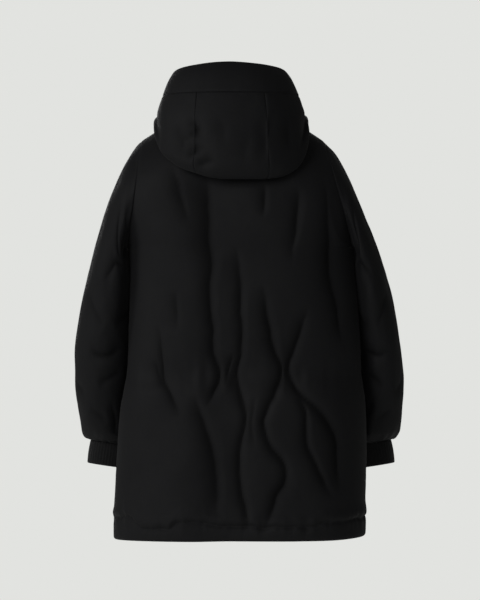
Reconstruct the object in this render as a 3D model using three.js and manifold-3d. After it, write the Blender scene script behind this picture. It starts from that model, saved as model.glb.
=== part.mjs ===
// A padded parka with the form it has when worn and nobody in it: back, two fronts, set-in
// sleeves with knit cuffs, stand collar, hood thrown back, front zip with slider and pull tab.
// Millimetres, +Z up. The origin is at the neck, level with the tops of the shoulder seams.
// The back faces +Y, the zip faces -Y, and the left sleeve is on +X.
import * as THREE from "three";
import { mergeVertices } from "three/addons/utils/BufferGeometryUtils.js";
import Module from "manifold-3d";

const wasm = await Module();
wasm.setup();

const DEGREE = Math.PI / 180;
const vec = (x, y, z) => new THREE.Vector3(x, y, z);

// Driving sizes
const seamGap = 0.3;
const wall = { body: 11, sleeve: 8, sleeveEnd: 5.5, hood: 6, collar: 7, cuff: 3.2 };
const seamDip = 2.5; // how far the stitching pulls the padding in along a seam
const sideY = -6; // the plane of the side and shoulder seams
const sectionPower = 2.4; // roundness of the body's section, 2 being an ellipse
const yoke = { back: 0.45, front: 0.15 }; // how round the body's top is at its middle
const shoulder = { x: 192, z: -62, curve: 1.25 };
const underarm = { x: 236, z: -285 };
const armhole = { halfDepth: 97, hollowBack: 2, hollowFront: 12 };
const neck = { halfWidth: 82, back: 68, front: 74, dropBack: 20, dropFront: 62, power: 1.6 };
const hem = { centre: -901, left: -897, right: -888, riseLeft: 4, riseRight: 1.2, band: 42 };
const zip = { halfGap: 14, tape: 1.6, tapeDepth: 3.2, chainHalf: 3, chain: 2.3 };

// The body's sections, from the hem to above the chest: half width, depth of the back and the
// front from the seam plane, and how far the section hangs to one side
const bodyRows = [
  { z: -901, width: 262.5, back: 155, front: 151, shift: -13 },
  { z: -875, width: 264, back: 159, front: 155, shift: -14 },
  { z: -815, width: 263, back: 158, front: 154, shift: -15 },
  { z: -740, width: 262, back: 156, front: 152, shift: -18 },
  { z: -640, width: 258, back: 151, front: 147, shift: -21 },
  { z: -585, width: 252, back: 145, front: 141, shift: -23 },
  { z: -548, width: 246, back: 139, front: 136, shift: -24 },
  { z: -510, width: 244, back: 142, front: 139, shift: -24 },
  { z: -440, width: 240, back: 146, front: 144, shift: -22 },
  { z: -380, width: 237, back: 149, front: 147, shift: -20 },
  { z: -330, width: 235, back: 150, front: 148, shift: -18 },
  { z: -285, width: 236, back: 149, front: 146, shift: -15 },
  { z: -230, width: 236, back: 147, front: 142, shift: -13 },
  { z: -173, width: 236, back: 144, front: 136, shift: -9 },
  { z: -110, width: 236, back: 140, front: 130, shift: -4 },
  { z: -62, width: 236, back: 130, front: 120, shift: 0 },
];

// The sleeve's rings, from the armhole to the cuff seam: the outer and the inner end of each
// ring seen from behind, the middle of its depth, half its depth, and its roundness
const sleeveRows = [
  { at: 0, outX: 192, outZ: -62, inX: 236, inZ: -285, midY: -6, halfY: 97, power: 2 },
  { at: 1, outX: 214, outZ: -88, inX: 238, inZ: -295, midY: -8, halfY: 98, power: 2.05 },
  { at: 2, outX: 234, outZ: -123, inX: 238.5, inZ: -305, midY: -9, halfY: 99, power: 2.1 },
  { at: 3, outX: 253, outZ: -164, inX: 238.5, inZ: -318, midY: -11, halfY: 99, power: 2.15 },
  { at: 4, outX: 269, outZ: -206, inX: 238, inZ: -334, midY: -14, halfY: 99, power: 2.2 },
  { at: 5, outX: 285, outZ: -252, inX: 238, inZ: -354, midY: -18, halfY: 98, power: 2.2 },
  { at: 6, outX: 300, outZ: -300, inX: 239, inZ: -380, midY: -23, halfY: 96, power: 2.2 },
  { at: 7, outX: 314, outZ: -353, inX: 240.2, inZ: -410, midY: -29, halfY: 94, power: 2.2 },
  { at: 8, outX: 326, outZ: -404, inX: 241.5, inZ: -444, midY: -37, halfY: 91, power: 2.2 },
  { at: 9, outX: 335, outZ: -453, inX: 242.7, inZ: -480, midY: -46, halfY: 87, power: 2.2 },
  { at: 10, outX: 341, outZ: -500, inX: 243.4, inZ: -517, midY: -56, halfY: 82, power: 2.2 },
  { at: 11, outX: 344, outZ: -543, inX: 244, inZ: -553, midY: -66, halfY: 77, power: 2.2 },
  { at: 12, outX: 345.5, outZ: -584, inX: 245.5, inZ: -590, midY: -77, halfY: 71, power: 2.2 },
  { at: 13, outX: 341, outZ: -626, inX: 246.5, inZ: -630, midY: -89, halfY: 65, power: 2.25 },
  { at: 14, outX: 336, outZ: -661, inX: 246, inZ: -668, midY: -99, halfY: 57, power: 2.3 },
  { at: 15, outX: 330, outZ: -682, inX: 244, inZ: -691, midY: -105, halfY: 44, power: 2.3 },
  { at: 16, outX: 320, outZ: -692, inX: 242, inZ: -704, midY: -108, halfY: 29, power: 2.2 },
];
const outlineShift = [
  { z: -62, shift: 0 },
  { z: -185, shift: -3 },
  { z: -311, shift: -8.4 },
  { z: -479, shift: -10.5 },
  { z: -565, shift: -13.7 },
  { z: -647, shift: -15.8 },
  { z: -760, shift: -16.8 },
];
const cuff = { length: 38, halfX: 39, halfY: 26, power: 2.2, ribs: 40, ribHeight: 0.8, belly: 1.2, forward: 5 };

// Soft troughs on the body, seen from behind: each runs from its first point to its second
const backFolds = [
  { x1: 152, z1: -464, x2: 140, z2: -545, width: 15, depth: 7.8 },
  { x1: 140, z1: -552, x2: 106, z2: -634, width: 17, depth: 7.8 },
  { x1: 89, z1: -150, x2: 68, z2: -401, width: 24, depth: 4.7 },
  { x1: 68, z1: -401, x2: 30, z2: -552, width: 17, depth: 7.8 },
  { x1: 34, z1: -556, x2: 60, z2: -613, width: 15, depth: 7.8 },
  { x1: 93, z1: -596, x2: 51, z2: -714, width: 18, depth: 8.5 },
  { x1: 51, z1: -714, x2: 30, z2: -830, width: 18, depth: 7.8 },
  { x1: -9, z1: -300, x2: -7, z2: -552, width: 17, depth: 7 },
  { x1: -7, z1: -554, x2: -28, z2: -664, width: 15, depth: 9.3 },
  { x1: -28, z1: -664, x2: -16, z2: -773, width: 15, depth: 7.8 },
  { x1: -64, z1: -374, x2: -100, z2: -545, width: 18, depth: 7.8 },
  { x1: -100, z1: -550, x2: -64, z2: -661, width: 16, depth: 9.3 },
  { x1: -64, z1: -661, x2: -110, z2: -769, width: 17, depth: 9.3 },
  { x1: -110, z1: -769, x2: -64, z2: -868, width: 18, depth: 7 },
  { x1: -156, z1: -430, x2: -125, z2: -548, width: 17, depth: 7.8 },
  { x1: -133, z1: -572, x2: -167, z2: -640, width: 17, depth: 8.5 },
  { x1: -160, z1: -640, x2: -205, z2: -821, width: 19, depth: 7.8 },
  { x1: -196, z1: -200, x2: -226, z2: -480, width: 18, depth: 5.4 },
];
const frontFolds = [
  { x1: 150, z1: -450, x2: 128, z2: -548, width: 18, depth: 7.8 },
  { x1: 128, z1: -552, x2: 158, z2: -690, width: 18, depth: 8.5 },
  { x1: 66, z1: -380, x2: 78, z2: -550, width: 18, depth: 7 },
  { x1: 78, z1: -556, x2: 52, z2: -700, width: 17, depth: 7.8 },
  { x1: 205, z1: -300, x2: 190, z2: -520, width: 22, depth: 5.4 },
  { x1: -148, z1: -470, x2: -132, z2: -548, width: 17, depth: 7.8 },
  { x1: -132, z1: -554, x2: -166, z2: -720, width: 19, depth: 8.5 },
  { x1: -70, z1: -350, x2: -84, z2: -548, width: 18, depth: 7 },
  { x1: -84, z1: -554, x2: -60, z2: -660, width: 16, depth: 7.8 },
  { x1: -202, z1: -260, x2: -222, z2: -500, width: 20, depth: 5.4 },
];
// Soft troughs on a sleeve: ring and degrees round it, from the outer side through the back.
// They are drawn as on a sleeve of this radius with its rings this far apart.
const sleeveSpread = { radius: 80, ring: 42 };
const sleeveFolds = [
  { at: 2.2, angle: 62, toAt: 4.6, toAngle: 118, width: 16, depth: 3.5 },
  { at: 4.4, angle: 128, toAt: 6.4, toAngle: 78, width: 16, depth: 4.5 },
  { at: 7.4, angle: 40, toAt: 8.6, toAngle: 96, width: 14, depth: 3 },
  { at: 9.6, angle: 128, toAt: 10.6, toAngle: 66, width: 15, depth: 4.5 },
  { at: 11.0, angle: 122, toAt: 11.8, toAngle: 84, width: 13, depth: 3.5 },
  { at: 9.2, angle: 220, toAt: 10.4, toAngle: 296, width: 16, depth: 5 },
  { at: 10.8, angle: 236, toAt: 12.2, toAngle: 300, width: 15, depth: 4 },
  { at: 5.0, angle: 236, toAt: 6.8, toAngle: 284, width: 17, depth: 4 },
];

// The hood thrown back, from its free edge over the outside, under itself and to the neck:
// half width at its widest, how far back it stands, where its front end lies, its heights at
// the back, the side and the front, and how late it falls away from the back on each side
const hoodRows = [
  { at: 0, half: 119, back: 150, frontX: 60, frontY: -66, high: 99, side: 76, front: 24, fallL: 1.8, fallR: 1.8 },
  { at: 1, half: 132, back: 168, frontX: 66, frontY: -70, high: 70, side: 54, front: 16, fallL: 1.7, fallR: 1.7 },
  { at: 2, half: 143, back: 180, frontX: 71, frontY: -72, high: 33, side: 28, front: 8, fallL: 1.6, fallR: 1.6 },
  { at: 3, half: 154, back: 192, frontX: 77, frontY: -73, high: -22, side: -2, front: -1, fallL: 1.4, fallR: 1.6 },
  { at: 4, half: 157, back: 193, frontX: 82, frontY: -72, high: -81, side: -26, front: -8, fallL: 1.2, fallR: 1.8 },
  { at: 5, half: 161, back: 184, frontX: 84, frontY: -68, high: -129, side: -42, front: -11, fallL: 1.0, fallR: 1.9 },
  { at: 6, half: 146, back: 164, frontX: 83, frontY: -62, high: -147, side: -44, front: -12, fallL: 1.0, fallR: 1.9 },
  { at: 7, half: 124, back: 138, frontX: 84, frontY: -60, high: -119, side: -26, front: -10, fallL: 1.0, fallR: 1.6 },
  { at: 8, half: 104, back: 100, frontX: 81, frontY: -56, high: -62, side: -8, front: -10, fallL: 1.0, fallR: 1.2 },
];
// Its outside keeps farther from the coat than its underside, which leaves room for the fold
const hood = {
  widestY: 46,
  shiftX: 4.5,
  power: 2.5,
  sideShare: 0.62, // the part of each half that runs round the back to the side
  frontBeta: 122,
  under: 7.5,
  over: 25,
  overUntil: 4.4,
  underFrom: 6,
};
// The stand collar's height and outward lean round the neck, from the centre back to the zip
const collarRows = [
  { beta: 0, top: 50, lean: 6 },
  { beta: 60, top: 54, lean: 4 },
  { beta: 100, top: 54, lean: 2 },
  { beta: 150, top: 34, lean: 1 },
  { beta: 180, top: 22, lean: 0 },
];
const slider = { width: 11, length: 16, depth: 4, bar: 1.6, rise: 4.8, reach: 6.8, archWidth: 3 };
const tab = { width: 9, length: 40, thick: 1.6, window: 4.6, windowEnd: 8.8, pivotRise: 1.6 };

// Small tools
const clamp = THREE.MathUtils.clamp;
const mix = THREE.MathUtils.lerp;

// A table read at a value of one column, on a smooth curve through its rows
function readTable(table, key, value) {
  const last = table.length - 1;
  const falling = table[last][key] < table[0][key];
  let k = 0;
  while (k < last - 1 && (falling ? value < table[k + 1][key] : value > table[k + 1][key])) k++;
  const [a, b] = [table[k], table[k + 1]];
  const [before, after] = [table[Math.max(k - 1, 0)], table[Math.min(k + 2, last)]];
  const span = b[key] - a[key];
  const t = clamp((value - a[key]) / span, 0, 1);
  const row = {};
  for (const name of Object.keys(a)) {
    const leaving = ((b[name] - before[name]) / (b[key] - before[key])) * span;
    const arriving = ((after[name] - a[name]) / (after[key] - a[key])) * span;
    const bend = leaving * t * (1 - t) ** 2 - arriving * t * t * (1 - t);
    row[name] = mix(a[name], b[name], t * t * (3 - 2 * t)) + bend;
  }
  return row;
}

// How deep the nearest soft trough is at a point
function troughDepth(folds, x, z) {
  let deepest = 0;
  for (const fold of folds) {
    const run = new THREE.Vector2(fold.x2 - fold.x1, fold.z2 - fold.z1);
    const length = run.length();
    run.normalize();
    const along = (x - fold.x1) * run.x + (z - fold.z1) * run.y;
    const across = (x - fold.x1) * run.y - (z - fold.z1) * run.x;
    const beyond = Math.max(0, -along, along - length);
    const nearness = Math.exp(-((across / fold.width) ** 2) - (beyond / (2 * fold.width)) ** 2);
    deepest = Math.max(deepest, fold.depth * nearness);
  }
  return deepest;
}

// A point of a rounded section: one unit wide and deep, at an angle from its middle
function roundSection(angle, power) {
  const reach = (Math.abs(Math.sin(angle)) ** power + Math.abs(Math.cos(angle)) ** power) ** (-1 / power);
  return { across: reach * Math.sin(angle), deep: reach * Math.cos(angle) };
}

// The outward normal of a surface given by two parameters, pointing away from a centre line
function normalOf(surface, u, v, stepU, stepV, centre) {
  const alongU = surface(u + stepU, v).sub(surface(u - stepU, v));
  const alongV = surface(u, v + stepV).sub(surface(u, v - stepV));
  const normal = alongU.cross(alongV).normalize();
  return normal.dot(surface(u, v).sub(centre)) < 0 ? normal.negate() : normal;
}

// A closed wall from an outer and an inner grid of points, as a panel or as a tube. Edge faces
// are split the same way on every side, so that two pieces keep their gap along a seam.
function wallGeometry(outer, inner, round) {
  const rows = outer.length;
  const columns = outer[0].length;
  const positions = [...outer.flat(), ...inner.flat()].flatMap((p) => [p.x, p.y, p.z]);
  const index = [];
  const at = (layer, j, i) => layer * rows * columns + j * columns + (i % columns);
  const quad = (a, b, c, d) => index.push(a, b, c, a, c, d);
  const spans = round ? columns : columns - 1;
  for (let j = 0; j < rows - 1; j++) {
    for (let i = 0; i < spans; i++) {
      quad(at(0, j, i), at(0, j, i + 1), at(0, j + 1, i + 1), at(0, j + 1, i));
      quad(at(1, j, i), at(1, j + 1, i), at(1, j + 1, i + 1), at(1, j, i + 1));
    }
  }
  for (let i = 0; i < spans; i++) {
    quad(at(0, 0, i), at(1, 0, i), at(1, 0, i + 1), at(0, 0, i + 1));
    quad(at(0, rows - 1, i), at(0, rows - 1, i + 1), at(1, rows - 1, i + 1), at(1, rows - 1, i));
  }
  for (let j = 0; j < rows - 1 && !round; j++) {
    const end = columns - 1;
    quad(at(0, j, 0), at(0, j + 1, 0), at(1, j + 1, 0), at(1, j, 0));
    quad(at(0, j, end), at(1, j, end), at(1, j + 1, end), at(0, j + 1, end));
  }
  return outwardGeometry(positions, index);
}

// A geometry whose faces point out, whichever way its points were listed
function outwardGeometry(positions, index) {
  const corner = (k) => vec(...positions.slice(3 * index[k], 3 * index[k] + 3));
  let volume = 0;
  for (let k = 0; k < index.length; k += 3) {
    volume += corner(k).dot(corner(k + 1).cross(corner(k + 2)));
  }
  if (volume < 0) index.reverse();
  const geometry = new THREE.BufferGeometry();
  geometry.setAttribute("position", new THREE.Float32BufferAttribute(positions, 3));
  geometry.setIndex(index);
  geometry.computeVertexNormals();
  return geometry;
}

const grid = (rows, columns, make) =>
  Array.from({ length: rows + 1 }, (_, j) => Array.from({ length: columns + 1 }, (_, i) => make(i, j)));

// A wall from a grid of pairs, each with its outer and its inner point
const wallFrom = (pairs, round) =>
  wallGeometry(pairs.map((row) => row.map((p) => p.outer)), pairs.map((row) => row.map((p) => p.inner)), round);

// The body
const columnsPerHalf = 12;
const neckColumns = 5;
const neckShare = neckColumns / columnsPerHalf;
const aboveBand = 0.11;
const hemLevels = [0, 0.03, hem.band / (underarm.z - hem.centre), aboveBand];
const plainRows = 14;
const sleeveColumns = 20; // a body row meets each sleeve column at the armhole
const bodyLevels = [
  ...hemLevels,
  ...Array.from({ length: plainRows }, (_, k) => mix(aboveBand, 1, (k + 1) / plainRows)),
  ...Array.from({ length: sleeveColumns / 2 }, (_, k) => 1 + (k + 1) * (4 / sleeveColumns)),
];

// The neckline and the shoulder seam: share 0 is the centre, 1 the shoulder's end
function topEdge(face, share) {
  if (share < neckShare) {
    const turn = (share / neckShare) * 90 * DEGREE;
    const deep = Math.cos(turn);
    const depth = face > 0 ? neck.back : -neck.front;
    const drop = face > 0 ? neck.dropBack : neck.dropFront;
    return vec(neck.halfWidth * Math.sin(turn), sideY + depth * deep, -drop * deep ** neck.power);
  }
  const along = (share - neckShare) / (1 - neckShare);
  return vec(mix(neck.halfWidth, shoulder.x, along), sideY, shoulder.z * along ** shoulder.curve);
}

// The armhole, from 0 degrees at the shoulder's end to 180 at the underarm
function armholePoint(face, angle) {
  const up = (1 + Math.cos(angle)) / 2;
  const hollow = face > 0 ? armhole.hollowBack : armhole.hollowFront;
  return vec(
    mix(underarm.x, shoulder.x, up) - hollow * Math.sin(angle) ** 2,
    sideY + face * armhole.halfDepth * Math.sin(angle),
    mix(underarm.z, shoulder.z, up),
  );
}

const hemHeight = (u) =>
  u > 0 ? mix(hem.centre, hem.left, u ** hem.riseLeft) : mix(hem.centre, hem.right, (-u) ** hem.riseRight);

// One half of the body's surface before it hangs to one side. Level 0 is the hem, 1 the
// underarm, 2 the middle of the armhole and 3 the shoulder seam and the neckline.
function halfBody(face, share, level, bottom) {
  const row = (z) => readTable(bodyRows, "z", z);
  const depthAt = (z) => (face > 0 ? row(z).back : row(z).front);
  if (level <= 1) {
    const z = mix(bottom, underarm.z, level);
    const section = roundSection(share * 90 * DEGREE, sectionPower);
    return vec(row(z).width * section.across, sideY + face * depthAt(z) * section.deep, z);
  }
  if (level <= 2) {
    const edge = armholePoint(face, (180 - 90 * (level - 1)) * DEGREE);
    const depth = depthAt(edge.z);
    const endDeep = (face * (edge.y - sideY)) / depth;
    const endAcross = (1 - endDeep ** sectionPower) ** (1 / sectionPower);
    const cut = 90 - Math.atan2(endAcross, endDeep) / DEGREE;
    const late = Math.min(4, (1 + 90 / cut) / 2); // columns crowd only beside the armhole
    const section = roundSection((90 * share - cut * share ** late) * DEGREE, sectionPower);
    return vec((edge.x * section.across) / endAcross, sideY + face * depth * section.deep, edge.z);
  }
  const turn = 90 * (3 - level) * DEGREE;
  const middle = halfBody(face, share, 2, bottom);
  const top = topEdge(face, share);
  const roundness = mix(face > 0 ? yoke.back : yoke.front, 1, clamp(share / neckShare, 0, 1));
  const out = roundness * Math.sin(turn) + (1 - roundness) * (1 - Math.cos(turn));
  const straight = mix(armholePoint(face, 90 * DEGREE).x, shoulder.x, Math.cos(turn));
  const curve = (armholePoint(face, turn).x - straight) * share ** 3;
  return vec(
    mix(middle.x, top.x, Math.cos(turn)) + curve,
    mix(top.y, middle.y, out),
    mix(middle.z, top.z, Math.cos(turn)),
  );
}

function bodyPoint(face, u, level) {
  const side = u < 0 ? -1 : 1;
  const point = halfBody(face, Math.abs(u), clamp(level, 0, 3), hemHeight(u));
  point.x = side * point.x + readTable(bodyRows, "z", point.z).shift;
  return point;
}

// The way from the outside of the wall to its inside, along each seam
function armholeInward(point, side) {
  const centreX = side * mix(underarm.x, shoulder.x, 0.5) + readTable(bodyRows, "z", point.z).shift;
  return vec(centreX, sideY, mix(underarm.z, shoulder.z, 0.5)).sub(point).normalize();
}

function neckInward(point, share) {
  const down = share < neckShare ? -0.3 : -1;
  return vec(-point.x, -(point.y - sideY), 0).normalize().add(vec(0, 0, down)).normalize();
}

function bodyInward(face, u, level) {
  const side = u < 0 ? -1 : 1;
  const share = Math.abs(u);
  const point = bodyPoint(face, u, level);
  if (share > 0.999 && level < 1) return vec(-side, 0, 0);
  if (share > 0.999) return armholeInward(point, side);
  if (level > 2.999 && share > neckShare + 0.001) return vec(0, 0, -1);
  if (level > 2.999) return neckInward(point, share > neckShare - 0.001 ? 1 : share);
  const lower = Math.min(level, 2.995);
  const surface = (a, b) => bodyPoint(face, a, Math.max(b, 0));
  const centre = vec(point.x * 0.2, sideY, Math.min(point.z, -120));
  return normalOf(surface, clamp(u, -0.99, 0.99), lower, 0.004, 0.004, centre).negate();
}

// How far a seam lies from a point of the body's grid, as a part of the gap to leave there
function bodySeamStep(face, u, level) {
  const side = u < 0 ? -1 : 1;
  const step = vec(0, 0, 0);
  const share = Math.abs(u);
  if (share > 0.999 && level > 0.999) step.x -= (side * seamGap) / 2;
  if (share > 0.999 && level <= 1.001) step.y += (face * seamGap) / 2;
  if (level > 2.999 && share > neckShare - 0.001) step.y += (face * seamGap) / 2;
  if (level > 2.999 && share < neckShare + 0.001) step.z -= seamGap / 2;
  return step;
}

// The outer and the inner point of the body's wall
function bodyWall(face, u, level, edgeX) {
  const base = bodyPoint(face, u, level).add(vec(edgeX, 0, 0)).add(bodySeamStep(face, u, level));
  const inward = bodyInward(face, u, level);
  const folds = face > 0 ? backFolds : frontFolds;
  const onSeam = Math.abs(u) > 0.999 || level > 2.999 || edgeX !== 0;
  const nearHem = Math.exp(-(((base.z - hem.centre - hem.band) / 14) ** 2));
  const dip = onSeam ? seamDip : troughDepth(folds, base.x, base.z) + seamDip * nearHem;
  return {
    outer: base.clone().addScaledVector(inward, dip),
    inner: base.clone().addScaledVector(inward, wall.body),
  };
}

function backGeometry() {
  const points = grid(bodyLevels.length - 1, 2 * columnsPerHalf, (i, j) =>
    bodyWall(1, i / columnsPerHalf - 1, bodyLevels[j], 0),
  );
  return wallFrom(points, false);
}

function frontGeometry(side) {
  const points = grid(bodyLevels.length - 1, columnsPerHalf, (i, j) =>
    bodyWall(-1, (side * i) / columnsPerHalf, bodyLevels[j], i === 0 ? side * zip.halfGap : 0),
  );
  return wallFrom(points, false);
}

// A sleeve
const sleeveRings = 24;
const lastRow = sleeveRows.length - 1;

function sleevePoint(side, at, angle) {
  const row = readTable(sleeveRows, "at", clamp(at, 0, lastRow));
  const section = roundSection(angle, row.power);
  const out = (1 + section.deep) / 2;
  const face = section.across > 0 ? 1 : -1;
  const outShift = readTable(outlineShift, "z", row.outZ).shift;
  const inShift = readTable(bodyRows, "z", row.inZ).shift;
  const hollow = (face > 0 ? armhole.hollowBack : armhole.hollowFront) * section.across ** 2;
  const z = mix(row.inZ, row.outZ, out);
  const shift = mix(mix(inShift, outShift, out), readTable(bodyRows, "z", z).shift, Math.max(0, 1 - at));
  const x = side * (mix(row.inX, row.outX, out) - hollow * Math.max(0, 1 - at / 3)) + shift;
  return vec(x, row.midY + row.halfY * section.across, z);
}

function sleeveCentre(side, at) {
  return sleevePoint(side, at, 0).add(sleevePoint(side, at, 180 * DEGREE)).multiplyScalar(0.5);
}

function sleeveWall(side, at, angle) {
  const base = sleevePoint(side, at, angle);
  const atArmhole = at < 0.001;
  const atCuff = at > lastRow - 0.001;
  const surface = (a, b) => sleevePoint(side, a, b);
  const centre = sleeveCentre(side, at);
  const within = sleeveCentre(side, Math.min(at + 3, lastRow)); // level with the underarm of the slanting ring
  let inward = normalOf(surface, clamp(at, 0.05, lastRow - 0.05), angle, 0.04, 0.02, within).negate();
  if (atArmhole) inward = armholeInward(base, side);
  if (atCuff) inward = centre.clone().sub(base).normalize();
  if (atArmhole) base.x += (side * seamGap) / 2;
  const { radius, ring } = sleeveSpread;
  const folds = sleeveFolds.map((fold) => ({
    x1: fold.angle * DEGREE * radius,
    z1: fold.at * ring,
    x2: fold.toAngle * DEGREE * radius,
    z2: fold.toAt * ring,
    width: fold.width,
    depth: fold.depth,
  }));
  const dip = atArmhole ? seamDip : troughDepth(folds, angle * radius, at * ring);
  const thickness = atCuff ? wall.sleeveEnd : wall.sleeve;
  return {
    outer: base.clone().addScaledVector(inward, atCuff ? 0 : dip),
    inner: base.clone().addScaledVector(inward, thickness),
  };
}

function sleeveGeometry(side) {
  const points = grid(sleeveRings, sleeveColumns - 1, (i, j) => {
    const share = j / sleeveRings;
    const at = lastRow * mix(share, share ** 1.15, 1 - share);
    return sleeveWall(side, at, (360 * i * DEGREE) / sleeveColumns);
  });
  return wallFrom(points, true);
}

// A knit cuff with its ribs, square to the end of the sleeve
function cuffGeometry(side) {
  const centre = sleeveCentre(side, lastRow);
  const outerEnd = sleevePoint(side, lastRow, 0);
  const acrossAxis = outerEnd.clone().sub(centre).normalize();
  const deepAxis = vec(0, 1, 0);
  const down = deepAxis.clone().cross(acrossAxis).multiplyScalar(side).normalize();
  const rings = 3;
  const make = (outside) =>
    grid(rings, 2 * cuff.ribs - 1, (i, j) => {
      const section = roundSection((180 * i * DEGREE) / cuff.ribs, cuff.power);
      const share = j / rings;
      const rib = outside ? cuff.ribHeight * (i % 2 ? -1 : 1) : -wall.cuff;
      const grow = rib + cuff.belly * Math.sin(180 * DEGREE * share);
      return centre
        .clone()
        .addScaledVector(down, seamGap + cuff.length * share)
        .addScaledVector(acrossAxis, (cuff.halfX + grow) * section.deep)
        .addScaledVector(deepAxis, (cuff.halfY + grow) * section.across - cuff.forward * share);
    });
  return wallGeometry(make(true), make(false), true);
}

// The collar: beta is 0 at the centre back, 90 at the shoulder seam and 180 at the zip
function neckPoint(side, beta) {
  const face = beta <= 90 ? 1 : -1;
  const point = topEdge(face, neckShare * 0.999999 * (face > 0 ? beta / 90 : (180 - beta) / 90));
  point.x *= side;
  return point;
}

function collarPoint(side, beta, share) {
  const point = neckPoint(side, beta);
  const row = readTable(collarRows, "beta", beta);
  const out = vec(point.x, point.y - sideY, 0).normalize();
  const base = point.z + seamGap / 2;
  return point.addScaledVector(out, -seamDip + row.lean * share).setZ(mix(base, row.top, share));
}

const collarColumns = 14;
const collarLevels = 4;
const zipBeta = 180 - Math.asin(zip.halfGap / neck.halfWidth) / DEGREE;

function collarWall(i, j) {
  const side = i < collarColumns ? -1 : 1;
  const beta = zipBeta * Math.abs(i / collarColumns - 1);
  const share = j / collarLevels;
  const outer = collarPoint(side, beta, share);
  const atZip = i === 0 || i === 2 * collarColumns;
  const inward = atZip ? vec(0, 1, 0) : vec(-outer.x, -(outer.y - sideY), 0).normalize();
  if (atZip) outer.x = side * zip.halfGap;
  return { outer, inner: outer.clone().addScaledVector(inward, wall.collar) };
}

const collarGeometry = () => wallFrom(grid(collarLevels, 2 * collarColumns, collarWall), false);

// Points of the body's upper surface, which the hood keeps clear of
const rest = [];
for (const face of [1, -1]) {
  for (let i = -60; i <= 60; i++) {
    for (let j = 0; j <= 50; j++) {
      const [u, level] = [i / 60, mix(1.4, 2.99, j / 50)];
      const out = bodyInward(face, clamp(u, -0.99, 0.99), level).negate();
      rest.push({ at: bodyPoint(face, u, level), out });
    }
  }
}

function keepClear(point, gap) {
  let nearest = rest[0];
  for (const sample of rest) {
    if (sample.at.distanceToSquared(point) < nearest.at.distanceToSquared(point)) nearest = sample;
  }
  const height = point.clone().sub(nearest.at).dot(nearest.out);
  return height < gap ? point.addScaledVector(nearest.out, gap - height) : point;
}

// The hood's surface: along runs from -1 at its right front end to 1 at its left one
const hoodLast = hoodRows.length - 1;

function hoodPoint(along, at) {
  if (at > hoodLast) {
    const inwards = hoodPoint(along, hoodLast).lerp(hoodNeckEdge(along, 2), at - hoodLast);
    return at > hoodLast + 0.999 ? inwards : keepClear(inwards, hood.under);
  }
  const row = readTable(hoodRows, "at", at);
  const side = along < 0 ? -1 : 1;
  const share = Math.abs(along);
  const turn = Math.min(share / hood.sideShare, 1) * 90 * DEGREE;
  const section = roundSection(turn, hood.power);
  const fall = (1 - Math.cos(turn)) ** (side > 0 ? row.fallL : row.fallR);
  const point = vec(
    row.half * section.across,
    mix(hood.widestY, row.back, section.deep),
    mix(row.high, row.side, fall),
  );
  if (share > hood.sideShare) {
    const forward = ((share - hood.sideShare) / (1 - hood.sideShare)) * 90 * DEGREE;
    point.x = mix(row.frontX, row.half, Math.cos(forward));
    point.y = mix(hood.widestY, row.frontY, Math.sin(forward));
    point.z = mix(row.side, row.front, Math.sin(forward));
  }
  point.x = side * point.x + hood.shiftX * (1 - at / hoodLast);
  const folded = clamp((at - hood.overUntil) / (hood.underFrom - hood.overUntil), 0, 1);
  return keepClear(point, mix(hood.over, hood.under, folded));
}

// The hood's neck edge, at a height above the neckline and just outside the collar
function hoodNeckEdge(along, height) {
  const side = along < 0 ? -1 : 1;
  const beta = hood.frontBeta * Math.abs(along);
  const top = readTable(collarRows, "beta", beta).top;
  const point = collarPoint(side, beta, height / (top - neckPoint(side, beta).z));
  const out = vec(point.x, point.y - sideY, 0).normalize();
  return point.addScaledVector(out, seamGap + 0.1);
}

// The outer and the inner point of the hood's wall, stepped off its seams: stepAlong and
// stepDown are the ways to step, 0 where there is no seam
function hoodWall(along, at, stepAlong, stepDown) {
  const outer = hoodPoint(along, at);
  const nearer = hoodPoint(along - 0.005, at);
  const farther = hoodPoint(along + 0.005, at);
  const above = hoodPoint(along, Math.max(at - 0.05, 0));
  const below = hoodPoint(along, Math.min(at + 0.05, hoodLast + 1));
  const forward = farther.sub(nearer).normalize();
  const down = below.sub(above).normalize();
  const inward = down.clone().cross(forward).normalize();
  inward.lerp(vec(0, 0, 1), clamp(at - hoodLast + 0.6, 0, 1)).normalize();
  outer.addScaledVector(forward, (stepAlong * seamGap) / 2).addScaledVector(down, (stepDown * seamGap) / 2);
  if (at > hoodLast + 0.999) return { outer, inner: hoodNeckEdge(along, 2 + wall.hood) };
  return { outer, inner: outer.clone().addScaledVector(inward, wall.hood) };
}

// The places along the hood where its points stand, with the middle panel's edges among them
const panelShare = 0.19;
const sideColumns = 15;
const middleColumns = 8;
const stations = [
  ...Array.from({ length: sideColumns }, (_, k) => mix(-1, -panelShare, k / sideColumns)),
  ...Array.from({ length: middleColumns }, (_, k) => mix(-panelShare, panelShare, k / middleColumns)),
  ...Array.from({ length: sideColumns + 1 }, (_, k) => mix(panelShare, 1, k / sideColumns)),
];

// One piece of the hood between two of these places, its rows given, with its seams
function hoodPiece(first, last, rows, seams) {
  const columns = last - first;
  const points = grid(rows.length - 1, columns, (i, j) => {
    const along = stations[first + i];
    const stepAlong = (i === 0 ? seams.start : 0) - (i === columns ? seams.end : 0);
    const stepDown = (j === 0 ? seams.top : 0) - (j === rows.length - 1 ? seams.bottom : 0);
    return hoodWall(along, rows[j], stepAlong, stepDown);
  });
  return wallFrom(points, false);
}

const brimRows = [0, 0.25, 1, 1.75, 2];
const crownRows = [2, 2.3, 3, 3.7, 4.4, 5, 5.5, 6, 6.6, 7.3, 8, 8.35, 8.7, 9];

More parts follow.
